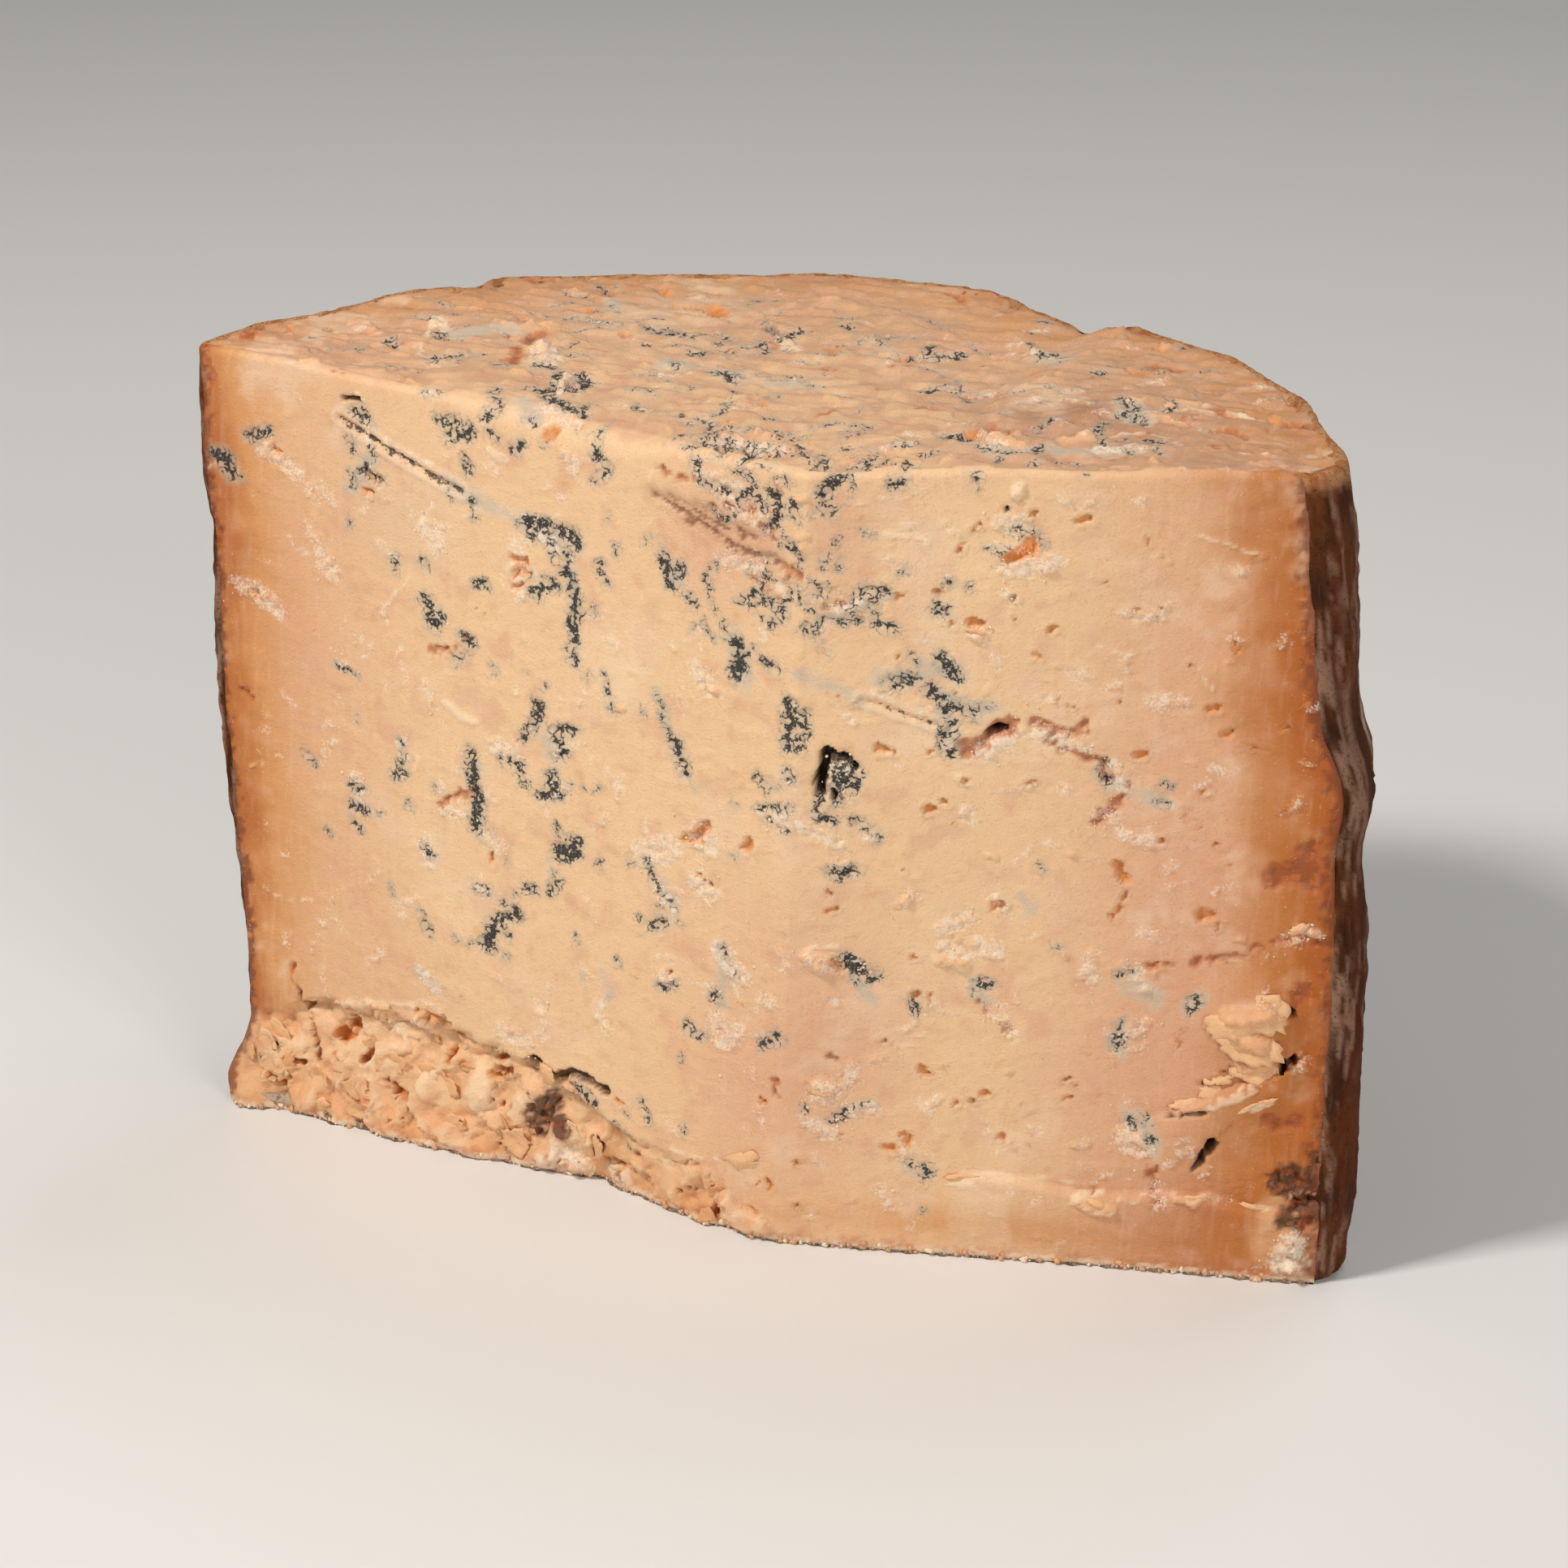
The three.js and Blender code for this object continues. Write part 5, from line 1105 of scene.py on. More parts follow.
def skin_relief(points, places):
    """The cut surface itself: soft swells, the knife's drag marks, and shallow shelves on the top."""
    on_top = smooth(places[:, 2], 0.4, 0.6)
    skin = 0.14 * layered(points, 11, 20) + 0.05 * layered(points, 2.2, 21)
    skin += 0.03 * noise(points, 0.95, 19)
    skin += 0.1 * (1 - on_top) * smooth(noise(points, (7, 7, 4), 27), 0.25, 0.32)
    drag = 0.05 * noise(places, (1.1, 22, 9), 22) * (1 - on_top)
    shelves = 0.45 * smooth(noise(points, (9, 4, 9), 25), 0.05, 0.15)
    shelves += 0.35 * smooth(noise(points, (5, 2.4, 5), 26), 0.2, 0.3)
    crests = 0.12 * (ridged(points, (4.5, 2.2, 4), 24) - 0.7)
    return skin + drag + on_top * (0.26 * layered(points, (9, 5, 9), 23) + crests + shelves - 0.3)


def torn_relief(points, places, torn):
    """Curls, hollows and scales of the band where the curd is torn, not cut."""
    hollow = -smooth(noise(places, (8, 3.2, 9), 35), 0.4, 0.8)
    folds = 1.9 * (ridged(warped(points), (6, 6, 7.5), 37, 2) - 0.75)
    curls = 0.6 * layered(points, 9, 30) + hollow + folds + 0.06 * layered(points, 1.4, 34, 2)
    return torn * curls + 1.15 * petal_height(points, places, torn)


def raised_relief(points, fields):
    """What stands up from the cut: crumbly mould, lumps, curd plates and the lips of cuts."""
    crumb = smooth(fields["white"], -0.5, 0.5) * (0.15 + 0.5 * layered(points, 1.3, 40, 2))
    fuzz = smooth(fields["fuzzy"], -0.6, 0.8) * (0.1 + 1.3 * layered(points, 1.5, 44, 2))
    lips = 0.3 * bump(fields["track"], -0.9, 0.4) + 0.25 * bump(fields["amber"], -0.3, 0.22)
    lump = smooth(fields["lump"], -0.6, 1.4) * (0.8 + 1.2 * layered(points, 1.8, 49, 3))
    pale = 0.25 * smooth(fields["pale"], -0.2, 0.2)
    return crumb + fuzz + lips + lump + pale + plates(points, fields)


def sunken_relief(points, places, fields, torn):
    """What is cut into the surface: veins, dents, cracks, tracks, grooves and holes."""
    speckle = smooth(fields["vein"], -0.7, 0.5) * (-0.3 + 0.5 * layered(points, 1.2, 42, 2))
    chip = 0.55 * noise(points, 1.1, 51)
    dent = -0.8 * (1 + 1.5 * torn) * smooth(fields["amber"] + chip, -0.05, 0.4)
    crack = -0.6 * smooth(fields["rust"] + 1.6 * chip, -0.2, 0.6)
    line = -0.9 * smooth(fields["track"], -0.3, 0.7) - 0.7 * smooth(fields["groove"], -0.9, 0.7)
    depth = HOLE_DEPTH * mix(1.0, 0.36, low_on_left(points, places))
    return speckle + dent + crack + line - depth * smooth(fields["hole"], -0.25, 0.5)


def low_on_left(points, places):
    return (places[:, 0] < 0) * (points[:, 2] < 30)


def paste_relief(points, places, fields, torn):
    """Fine relief along the surface's own normal, in millimetres."""
    form = skin_relief(points, places) + torn_relief(points, places, torn)
    return form + raised_relief(points, fields) + sunken_relief(points, places, fields, torn)


def plates(points, fields):
    """Curd that stands up in ragged steps."""
    field = fields["plate"]
    rough = noise(points, 2.6, 46)
    steps = 0.5 * smooth(field, -0.1, 0.2) + 0.5 * smooth(field + rough, 0.9, 1.2)
    steps = steps + 0.4 * smooth(field + rough, 1.7, 2.0)
    grain = 0.15 * noise(points, 0.9, 48) * smooth(field, -0.1, 0.3)
    return steps * (1 + 0.3 * noise(points, 1.5, 47)) + grain


def rim_gap(points, places):
    """Distance in from the curved side, measured along the surface that shows."""
    angle = np.degrees(np.arctan2(points[:, 1], points[:, 0]))
    radial = rind_radius(angle, points[:, 2]) - np.hypot(points[:, 0], points[:, 1])
    z = np.clip(places[:, 1], 0, HEIGHT)
    length = np.where(places[:, 0] < 0, face_length("left", z), face_length("right", z))
    along = length - np.abs(places[:, 0])
    return np.where(places[:, 2] < 0.5, along, np.maximum(radial, 0))


def blend(colours, target, share):
    share = np.clip(share, 0, 1)[:, None]
    return colours + (np.array(target[:3]) - colours) * share


# Broad changes of colour over the paste: surface, place, spread, colour, strength
ZONES = (
    ("left", 30, 75, 34, 46, CREAM, 0.6), ("right", 8, 80, 26, 44, CREAM, 0.6),
    ("right", 84, 32, 18, 42, ORANGE, 1), ("right", 90, 90, 14, 70, GOLD, 0.9),
    ("right", 86, 14, 12, 16, GOLD, 0.9), ("top", 90, 30, 18, 26, DUSKY, 0.6),
    ("left", 78, 117, 12, 10, HALO, 0.15), ("top", 62, 34, 28, 20, DUSKY, 0.95),
    ("left", 4, 34, 14, 26, PINKISH, 0.65), ("right", 6, 34, 14, 26, PINKISH, 0.65),
    ("left", 14, 124, 10, 9, PINKISH, 0.8), ("left", 112, 60, 9, 80, OCHRE, 0.6),
    ("left", 100, 90, 12, 16, PINKISH, 0.4), ("left", 60, 6, 60, 7, OCHRE, 0.55),
    ("right", 6, 124, 6, 10, PINKISH, 0.9), ("right", 22, 122, 20, 9, CREAM, 0.8),
    ("right", 72, 9, 20, 12, GOLD, 0.95), ("right", 40, 6, 50, 4, OCHRE, 0.5),
    ("right", 62, 60, 16, 60, PINKISH, 0.6), ("right", 56, 36, 14, 14, PINKISH, 0.5),
    ("right", 84, 100, 8, 60, OCHRE, 0.5), ("top", 0, 70, 90, 16, TAN, 0.4),
    ("top", 80, 40, 24, 30, TAN, 0.7), ("top", -80, 30, 24, 20, PINKISH, 0.6),
    ("top", 10, 8, 22, 9, CREAM, 0.5),
)


def zone_share(places, surface, across, up, spread_across, spread_up):
    if surface == "top":
        member = places[:, 2] > 0.5
        offset = places[:, 0] - across
    else:
        member = (places[:, 2] < 0.5) & ((places[:, 0] < 0) == (surface == "left"))
        offset = np.abs(places[:, 0]) - across
    reach = (offset / spread_across) ** 2 + ((places[:, 1] - up) / spread_up) ** 2
    return np.exp(-reach) * member


def lay(colour, *layers):
    """Tones laid over a colour one after the other, each with its own share."""
    for tone_over, share in layers:
        colour = blend(colour, tone_over, share)
    return colour


def ground_tint(points, places, gap, patchy, fine, on_top):
    """Cream inside and browned towards the rind, with soft patches, and the whole top darkened to tan as
    painted shade.
    """
    wide = layered(points, 26, 50)
    streak = noise(places, (1.2, 16, 9), 59)
    dusk = layered(points, (15, 7, 9), 57)
    edge = gap + 5 * wide + 2.2 * patchy
    on_right = (places[:, 0] > 0) * (1 - on_top)
    colour = np.tile(np.array(BUFF[:3]), (len(points), 1))
    colour = blend(colour, CREAM, smooth(edge, 20, 48) * 0.7)
    for surface, across, up, spread_across, spread_up, tone_over, strength in ZONES:
        share = zone_share(places, surface, across, up, spread_across, spread_up)
        colour = blend(colour, tone_over, share * strength * (1 + 0.5 * wide))
    return lay(
        colour,
        (OCHRE, (1 - smooth(edge, 3, 22)) * 0.6),
        (BROWNED, (1 - smooth(edge, -1, 8)) * (0.75 - 0.35 * on_top)),
        (GOLD, 0.6 * on_right * (1 - smooth(edge, 2, 19))),
        # painted shade: the top darker and tanner all over than the cut sides, by patches
        (TAN, on_top * (0.5 + 0.5 * patchy)),
        (DUSKY, 0.2 * on_top * smooth(dusk, 0.1, 0.7)),
        (PINKISH, 0.5 * smooth(patchy, 0.05, 0.7) * smooth(edge, -6, 22)),
        (PALE, 0.35 * smooth(wide + 0.6 * patchy, 0.25, 0.9)),
        (PALE, 0.1 * smooth(streak, 0.1, 0.8)),
        (OCHRE, 0.16 * smooth(-fine, 0.2, 0.9)),
    )


def torn_tint(colour, points, relief, torn, patchy):
    """Torn curd: cream and peach, painted pale on its crests as a painted highlight, and painted gold and
    dark amber in its hollows as painted shade.
    """
    low = 1 - smooth(points[:, 2], 1, 9)
    return lay(
        colour,
        (CREAM, torn * 0.5),
        (PEACH, torn * (0.3 + 0.5 * patchy + 0.6 * low)),
        # painted highlight: paler where the relief stands out
        (PALE, torn * 0.5 * smooth(relief, 0.3, 1.4)),
        # painted shade: gold, then dark amber, where the relief sinks into hollows
        (GOLD, torn * 0.5 * smooth(-relief, 0.2, 0.9)),
        (AMBER_SHADE, torn * 0.7 * smooth(-relief, 1.0, 2.2)),
    )


def mould_tint(colour, fields, patchy, fine):
    """Pale mould, the grey halo round the veins, curd plates, and a painted highlight on raised edges."""
    return lay(
        colour,
        (MOULD_WHITE, 0.5 * smooth(fields["smear"] + 0.9 * fine, -0.9, 1.3)),
        (HALO, 0.6 * smooth(fields["smear"] + 0.9 * patchy + 0.7 * fine, -0.6, 1.5)),
        (HALO, 0.45 * smooth(fields["vein"] + 0.7 * fine, -1.5, 0.2)),
        (CURD, 0.75 * smooth(fields["plate"], -0.3, 0.4)),
        (MOULD_WHITE, 0.3 * smooth(fields["white"] + 1.3 * fine, -0.2, 1.1)),
        # painted highlight: pale along raised edges, scratches and curls
        (PALE, 0.6 * smooth(fields["pale"] + 0.3 * fine, -0.2, 0.2)),
    )


def crack_tint(colour, points, places, fields, fine):
    """Amber dents with painted shade deep inside them, rusty cracks, the groove and the straight tracks."""
    chip = 0.55 * noise(points, 1.1, 51)
    lens = zone_share(places, "right", 33.2, 126, 2.8, 1.8)
    return lay(
        colour,
        (AMBER, 0.8 * smooth(fields["amber"] + chip, -0.1, 0.25)),
        # painted shade: dark amber deep in the dents
        (AMBER_SHADE, 0.5 * smooth(fields["amber"] + chip, 0.3, 0.9)),
        (LENS, lens * smooth(fields["amber"] + 0.3 * chip, -0.3, 0.2)),
        (RUST, 0.7 * smooth(fields["rust"] + 1.6 * chip, -0.4, 0.3)),
        (RUST_DARK, 0.5 * smooth(fields["rust"] + 2 * chip, 0.6, 1.3)),
        (TAN, 0.45 * smooth(fields["groove"], -2.4, -0.4)),
        (RUST_DARK, 0.75 * smooth(fields["groove"] + 0.8 * fine, -0.1, 0.3)),
        (MOULD_WHITE, 0.6 * bump(fields["track"] + 0.3 * fine, -0.9, 0.5)),
    )


def lump_tint(colour, points, places, fields, fine):
    """Brown fuzzy patches, lumps of mould or of crust, and painted shade inside the holes."""
    fuzz = smooth(fields["fuzzy"], -0.2, 0.4)
    on_side = (places[:, 2] < 0.5) * smooth(fields["lump"] + 0.5 * fine, -0.6, 0.2)
    mouldy = on_side * (points[:, 2] > 60)
    crusty = on_side - mouldy
    low_left = low_on_left(points, places)
    return lay(
        colour,
        (FUZZ, 0.9 * smooth(fields["fuzzy"] + 0.9 * fine, -0.5, 0.4)),
        (RUST, 0.7 * fuzz * smooth(-fine, 0.2, 0.5)),
        (PINKISH, 0.7 * fuzz * smooth(fine, 0.4, 0.7)),
        (MOULD_GREY, 0.9 * mouldy),
        (VEIN_DARK, 0.8 * mouldy * smooth(fine, 0.1, 0.5)),
        (MOULD_WHITE, 0.85 * crusty),
        (RUST, 0.8 * crusty * smooth(-fine, 0.05, 0.5)),
        (RUST_DARK, 0.8 * crusty * smooth(-fine, 0.5, 0.9)),
        # painted shade: near black inside holes, browner in the shallower holes low on the left face
        (HOLE_SHADE, 0.95 * smooth(fields["hole"], -0.25, 0.1)),
        (TORN_HOLE_SHADE, 0.9 * low_left * smooth(fields["hole"], -0.25, 0.2)),
    )


def border_tint(colour, points, places, gap, patchy, fine, on_top):
    """The browned line along the rind, and the rusty foot with its pale lip."""
    on_right = (places[:, 0] > 0) * (1 - on_top)
    border = (1 - smooth(gap + 1.8 * fine, 0.5, 2.0 + 0.6 * on_right)) * (1 - on_top)
    foot = (1 - smooth(points[:, 2] + 1.6 * fine, 1.2, 3.6)) * (1 - on_top)
    lip = (1 - smooth(points[:, 2] + 0.8 * fine, 0.6, 1.8)) * (1 - on_top)
    return lay(
        colour,
        (CRUST, 0.8 * border),
        (RUST, foot * 0.5 * smooth(fine + patchy, -0.3, 0.5)),
        (MOULD_WHITE, 0.85 * lip),
    )


def paste_tint(points, places, fields, relief, torn, gap):
    """The paste's colour at every vertex; the material adds what is finer."""
    patchy = layered(points, 6, 53)
    fine = layered(points, 1.7, 56)
    on_top = (places[:, 2] > 0.5).astype(float)
    colour = ground_tint(points, places, gap, patchy, fine, on_top)
    colour = torn_tint(colour, points, relief, torn, patchy)
    colour = mould_tint(colour, fields, patchy, fine)
    colour = crack_tint(colour, points, places, fields, fine)
    colour = lump_tint(colour, points, places, fields, fine)
    return border_tint(colour, points, places, gap, patchy, fine, on_top)


# Mark fields that the paste's material reads
FIELDS_KEPT = ("vein", "track", "white")


def make_paste():
    builder = paste_shape()
    points, places = builder.arrays()
    piece = make_object("paste", points, builder.faces)
    normals = vertex_normals(piece.data)
    fields = fields_at(points)
    torn = torn_share(points, places)
    hidden = (places == 0).all(axis=1)
    relief = paste_relief(points, places, fields, torn)
    gap = rim_gap(points, places)
    on_top = places[:, 2] > 0.5
    foot_fade = np.where(on_top, 1.0, smooth(points[:, 2], 0, 2))
    edge_fade = mix(np.where(on_top, 0.08, 0.15), 1.0, smooth(gap, 0.8, 3.6)) * foot_fade
    relief = np.where(hidden, 0.0, relief * edge_fade)
    move_vertices(piece, points + normals * relief[:, None])
    for name in FIELDS_KEPT:
        store(piece, name, fields[name])
    store(piece, "tint", paste_tint(points, places, fields, relief, torn, gap))
    store(piece, "place", places)
    return piece


# Rind


def rind_shares(count):
    """Even steps along the curved side, closer together round its two corners."""
    arc = LEFT_FACE_TOP_ANGLE - RIGHT_FACE_TOP_ANGLE
    turn = np.linspace(0, math.pi / 2, RIND_CORNER_COLUMNS)
    right = (1 - np.cos(turn)) * RIGHT_CORNER_SPREAD / arc
    left = 1 - (1 - np.cos(turn[::-1])) * LEFT_CORNER_SPREAD / arc
    return np.concatenate([right, np.linspace(right[-1], left[0], count)[1:-1], left])


def rind_rows(top, side_rows):
    """Heights of the rows down the curved side, and how far in each is rounded at rim and foot."""
    foot_radius = EDGE_ROUND_FOOT + 1.2
    rim_inset, rim_drop = edge_round(RIM_ROUND, np.linspace(1, 0.2, 4))
    foot_inset, foot_z = edge_round(foot_radius, np.linspace(0.15, 1, 6))
    body_z = mix(foot_radius, top - RIM_ROUND, np.linspace(1, 0, side_rows)[None, :])
    z = np.concatenate([top - rim_drop, body_z, foot_z + 0 * top], axis=1)
    return z, np.concatenate([rim_inset, np.zeros(side_rows), foot_inset])[None, :]


def rind_grid(count, side_rows, base_rows, inset=0.0):
    """Curved side from the rim down, then across the base to the foot of the cut sides."""
    share = rind_shares(count)[:, None]
    rim_x, rim_y, _ = rind_point(share[:, 0], np.full(len(share), HEIGHT))
    z, round_in = rind_rows(top_height(rim_x, rim_y)[:, None] + 0.15, side_rows)
    x, y, angle = rind_point(share + 0 * z, z, round_in)
    corner = rind_radius(angle, z) - round_in - np.hypot(x, y)
    arc = np.radians(angle) * ARC_RADIUS + corner * np.sign(share - 0.5)
    front_x, front_y = foot_line(share[:, 0])
    across = np.linspace(0, 1, base_rows + 1)[1:][None, :]
    base_x = mix(x[:, -1:], front_x[:, None], across)
    base_y = mix(y[:, -1:], front_y[:, None], across)
    down = np.concatenate([z, -across * 60 + 0 * base_x], axis=1)
    arc = np.concatenate([arc, np.repeat(arc[:, -1:], base_rows, axis=1)], axis=1)
    x = np.concatenate([x, base_x], axis=1)
    y = np.concatenate([y, base_y], axis=1)
    z = np.concatenate([z, 0 * base_x], axis=1)
    places = np.stack([arc, down, 2 + 0 * arc], axis=-1)
    if inset:
        x, y = towards_inside(x, y, inset + chip_clearance(np.degrees(np.arctan2(y, x)), z))
        z = np.clip(z, inset, None) - INNER_RIM_DROP * (z > HEIGHT - 4)
    return np.stack([x, y, z], axis=-1), places


def foot_line(share):
    """Where the base ends under the cut sides, from the right end over the apex to the left end."""
    right = face_length("right", 0.0)
    left = face_length("left", 0.0)
    along = share * (right + left)
    inset = 0.28 * np.sin(along * 0.9) + 0.22 * np.sin(along * 2.3 + 1) - 0.1
    right_x, right_y = face_point("right", np.clip(right - along, 0, None), 0.8, inset)
    left_x, left_y = face_point("left", np.clip(along - right, 0, None), 0.8, inset)
    on_right = along < right
    return np.where(on_right, right_x, left_x), np.where(on_right, right_y, left_y)


def wrap_end(points, places, end, outward):
    """Columns that carry the outer grid round one end, almost as far in as the shell is thick."""
    x, y, z = points[end].T
    clearance = chip_clearance(np.degrees(np.arctan2(y, x)), z)
    columns = []
    shifted = []
    for share in np.linspace(0, 0.88, RIND_END_COLUMNS + 1)[1:]:
        depth = share * RIND_THICKNESS
        inner_x, inner_y = towards_inside(x, y, depth + share * clearance)
        inner_z = np.clip(z, depth, None) - share * INNER_RIM_DROP * (z > HEIGHT - 4)
        columns.append(np.stack([inner_x, inner_y, inner_z], axis=-1))
        shifted.append(places[end] + np.array([outward * depth, 0, 0]))
    return np.array(columns), np.array(shifted)


def outer_rind():
    """The outside of the rind with both of its ends."""
    columns = int(RIND_ARC_LENGTH / RIND_CELL)
    points, places = rind_grid(columns, int(HEIGHT / RIND_CELL), RIND_BASE_ROWS)
    right, right_places = wrap_end(points, places, 0, -1)
    left, left_places = wrap_end(points, places, -1, 1)
    points = np.concatenate([right[::-1], points, left])
    return points, np.concatenate([right_places[::-1], places, left_places])


def rind_shape():
    builder = Builder()
    outer = builder.add(*outer_rind())
    inner = builder.add(*rind_grid(*INNER_RIND_GRID, RIND_THICKNESS))
    builder.faces += grid_faces(outer) + grid_faces(inner)
    borders = [(grid[:, 0], grid[:, -1], grid[0], grid[-1]) for grid in (outer, inner)]
    for outer_row, inner_row in zip(*borders):
        builder.faces += zip_strips(outer_row, inner_row)
    ends = np.concatenate([outer[:RIND_END_COLUMNS], outer[-RIND_END_COLUMNS:]])
    return builder, outer.size, ends.ravel()


def rind_relief(points, places):
    """Wrinkles down the side, finer folds and crust between them, and pits."""
    wrinkles = ridged(places, (7, 34, 9), 60, 2) - 0.7
    folds = 0.9 * (ridged(places, (2.6, 11, 9), 63, 2) - 0.7)
    crust = 0.55 * layered(places, (3.4, 11, 9), 66) + 0.14 * noise(points, 1.5, 69)
    pits = -0.9 * smooth(noise(points, 4.4, 70), 0.55, 0.85)
    near_rim = 1 - smooth(HEIGHT - points[:, 2], 1, 7)
    return (wrinkles + folds + crust + pits) * (1 - 0.7 * near_rim)


def rind_ground(points, relief, fine, long_streak, thin_streak):
    """Dark brown rind under long streaks of mauve and white bloom, with painted shade in its hollows."""
    blotch = layered(points, 13, 72)
    bloom = long_streak + 0.8 * thin_streak + 0.4 * fine
    return lay(
        np.tile(np.array(RIND_BROWN[:3]), (len(points), 1)),
        (RIND_DARK, 0.65 * smooth(blotch + 0.4 * fine, -0.2, 0.5)),
        (RIND_RUST, 0.4 * smooth(thin_streak - 0.5 * blotch, 0.1, 0.6)),
        (RIND_MAUVE, 0.7 * smooth(bloom, 0.05, 0.5)),
        (MOULD_WHITE, 0.45 * smooth(long_streak + 0.5 * fine, 0.5, 0.9)),
        # painted shade: darker where the relief sinks into hollows
        (RIND_DARK, 0.8 * smooth(-relief, 0.1, 1.0)),
    )


def rind_tint(points, places, relief):
    """The rind's colour at every vertex, with narrow streaks at its ends and a pale rim."""
    fine = layered(places, (2.2, 5, 9), 75)
    long_streak = layered(places, (9, 34, 9), 78)
    thin_streak = layered(places, (2.4, 14, 9), 81)
    narrow = layered(places, (0.9, 9, 9), 84)
    angle = np.degrees(places[:, 0] / ARC_RADIUS)
    right_gap = np.radians(angle - end_angle("right", points[:, 2])) * RIM_RADIUS
    left_gap = np.radians(end_angle("left", points[:, 2]) - angle) * RIM_RADIUS
    at_end = 1 - smooth(np.minimum(right_gap, left_gap), 0, 1.2)
    rim = 1 - smooth(HEIGHT - points[:, 2] + 1.1 * fine, 0.4, 2.6)
    front = smooth(-places[:, 1], 57.5, 59)
    return lay(
        rind_ground(points, relief, fine, long_streak, thin_streak),
        (CRUST, 0.8 * bump(right_gap + 0.8 * fine, -0.2, 1.2)),
        (CRUST, 0.8 * bump(left_gap + 0.8 * fine, -0.2, 1.2)),
        (RIND_DARK, 0.5 * at_end * smooth(-narrow + 0.3 * fine, 0.0, 0.4)),
        (RIND_MAUVE, 0.9 * at_end * smooth(narrow + 0.6 * long_streak, 0.1, 0.32)),
        (PEACH, 0.85 * rim),
        (BROWNED, 0.65 * rim * smooth(thin_streak + fine, -0.1, 0.5)),
        (MOULD_WHITE, 0.8 * front),
        (CRUST, 0.7 * front * smooth(fine, 0.0, 0.5)),
    )


def make_rind():
    builder, outer_count, ends = rind_shape()
    points, places = builder.arrays()
    piece = make_object("rind", points, builder.faces)
    normals = vertex_normals(piece.data)
    relief = rind_relief(points, places)
    on_base = places[:, 1] < 0
    relief = np.where(on_base, np.minimum(relief, 0) * 0.35 - 0.05, relief)
    relief = np.where(np.arange(len(points)) < outer_count, relief, 0)
    relief[ends] *= 0.4
    moved = points + normals * relief[:, None]
    moved[:, 2] = np.maximum(moved[:, 2], 0)
    move_vertices(piece, moved)
    store(piece, "place", places)
    store(piece, "tint", rind_tint(points, places, relief))
    return piece


# Loose flakes, curls and crumbs


def surface_frame(side, distance, z):
    """Place, direction along the face, up, and out of it."""
    x, y = face_point(side, distance, z)
    dx, dy = face_direction(side, z)
    along = np.array((-dx, -dy, 0.0)) if side == "left" else np.array((dx, dy, 0.0))
    out = np.array((-dy, dx, 0.0)) if side == "left" else np.array((dy, -dx, 0.0))
    return np.array((float(x), float(y), float(z))), along, np.array((0.0, 0.0, 1.0)), out


class Scraps:
    """Many small closed shapes gathered into one mesh."""

    def __init__(self, seed):
        self.random = np.random.default_rng(seed)
        self.points = []
        self.faces = []
        self.tints = []
        self.count = 0

    def put(self, points, faces, tint):
        self.points.append(points)
        self.faces += [tuple(v + self.count for v in face) for face in faces]
        self.tints.append(np.tile(np.array(tint[:3]), (len(points), 1)))
        self.count += len(points)

    def flake(self, frame, length, width, tilt, lift, curl, tint):
        """A thin ragged plate that is rooted at one side and curls away at the other."""
        origin, along, up, out = frame
        spin = math.radians(tilt)
        axis_x = math.cos(spin) * along + math.sin(spin) * up
        axis_y = -math.sin(spin) * along + math.cos(spin) * up
        rings, sides = 5, 32
        turn = np.arange(sides) * 2 * math.pi / sides
        outline = 1 + 0.09 * self.random.normal(size=sides)
        for lobes in (2, 3, 5, 8):
            swing = 0.3 / lobes**0.7 * self.random.random()
            outline += swing * np.cos(lobes * turn + self.random.uniform(0, 6.3))
        outline = np.clip(outline, 0.4, 1.5)
        reach = np.repeat(np.arange(1, rings + 1) / rings, sides)
        scale = reach * mix(1.0, np.tile(outline, rings), reach)
        x = np.append(0, scale * np.cos(np.tile(turn, rings))) * length / 2
        y = np.append(0, scale * np.sin(np.tile(turn, rings))) * width / 2
        reach = np.append(0, reach)
        slope = math.tan(math.radians(lift))
        wave = 0.04 * length * np.sin(x / length * 5 + tilt) * np.cos(y / width * 4)
        height = abs(slope) * width * 0.35 + y * slope - curl * reach**2 + wave
        height = height + 0.02 * self.random.normal(size=len(x))
        half = 0.2 * (1.15 - reach**4)
        flat = origin + np.outer(x, axis_x) + np.outer(y, axis_y)
        height += 0.3 * noise(flat, 1.7, 90) * np.minimum(length / 5, 1)
        upper = flat + np.outer(height + half, out)
        lower = flat + np.outer(height - half, out)
        self.put(np.concatenate([upper, lower]), plate_faces(rings, sides), tint)

    def crumb(self, place, size, tint):
        """A rough grain, close to a ball."""
        points = CRUMB_POINTS * self.random.uniform(0.6, 1.1, 3) * size / 2
        points = points * (1 + 0.2 * self.random.normal(size=(len(points), 1)))
        self.put(points + place, CRUMB_FACES, tint)


def grain_shape():
    shape = bmesh.new()
    bmesh.ops.create_icosphere(shape, subdivisions=1, radius=1)
    points = np.array([v.co[:] for v in shape.verts])
    faces = [tuple(v.index for v in face.verts) for face in shape.faces]
    shape.free()
    return points, faces


CRUMB_POINTS, CRUMB_FACES = grain_shape()


def plate_faces(rings, sides):
    """Faces of a closed plate made of two discs of rings that meet at their edge."""
    half = 1 + rings * sides
    faces = []
    for side in range(sides):
        after = (side + 1) % sides
        faces.append((0, 1 + side, 1 + after))
        faces.append((half, half + 1 + after, half + 1 + side))
        for ring in range(rings - 1):
            a = 1 + ring * sides
            b = a + sides
            faces.append((a + side, b + side, b + after, a + after))
            faces.append((half + a + side, half + a + after, half + b + after, half + b + side))
        edge = 1 + (rings - 1) * sides
        faces.append((edge + side, half + edge + side, half + edge + after, edge + after))
    return faces
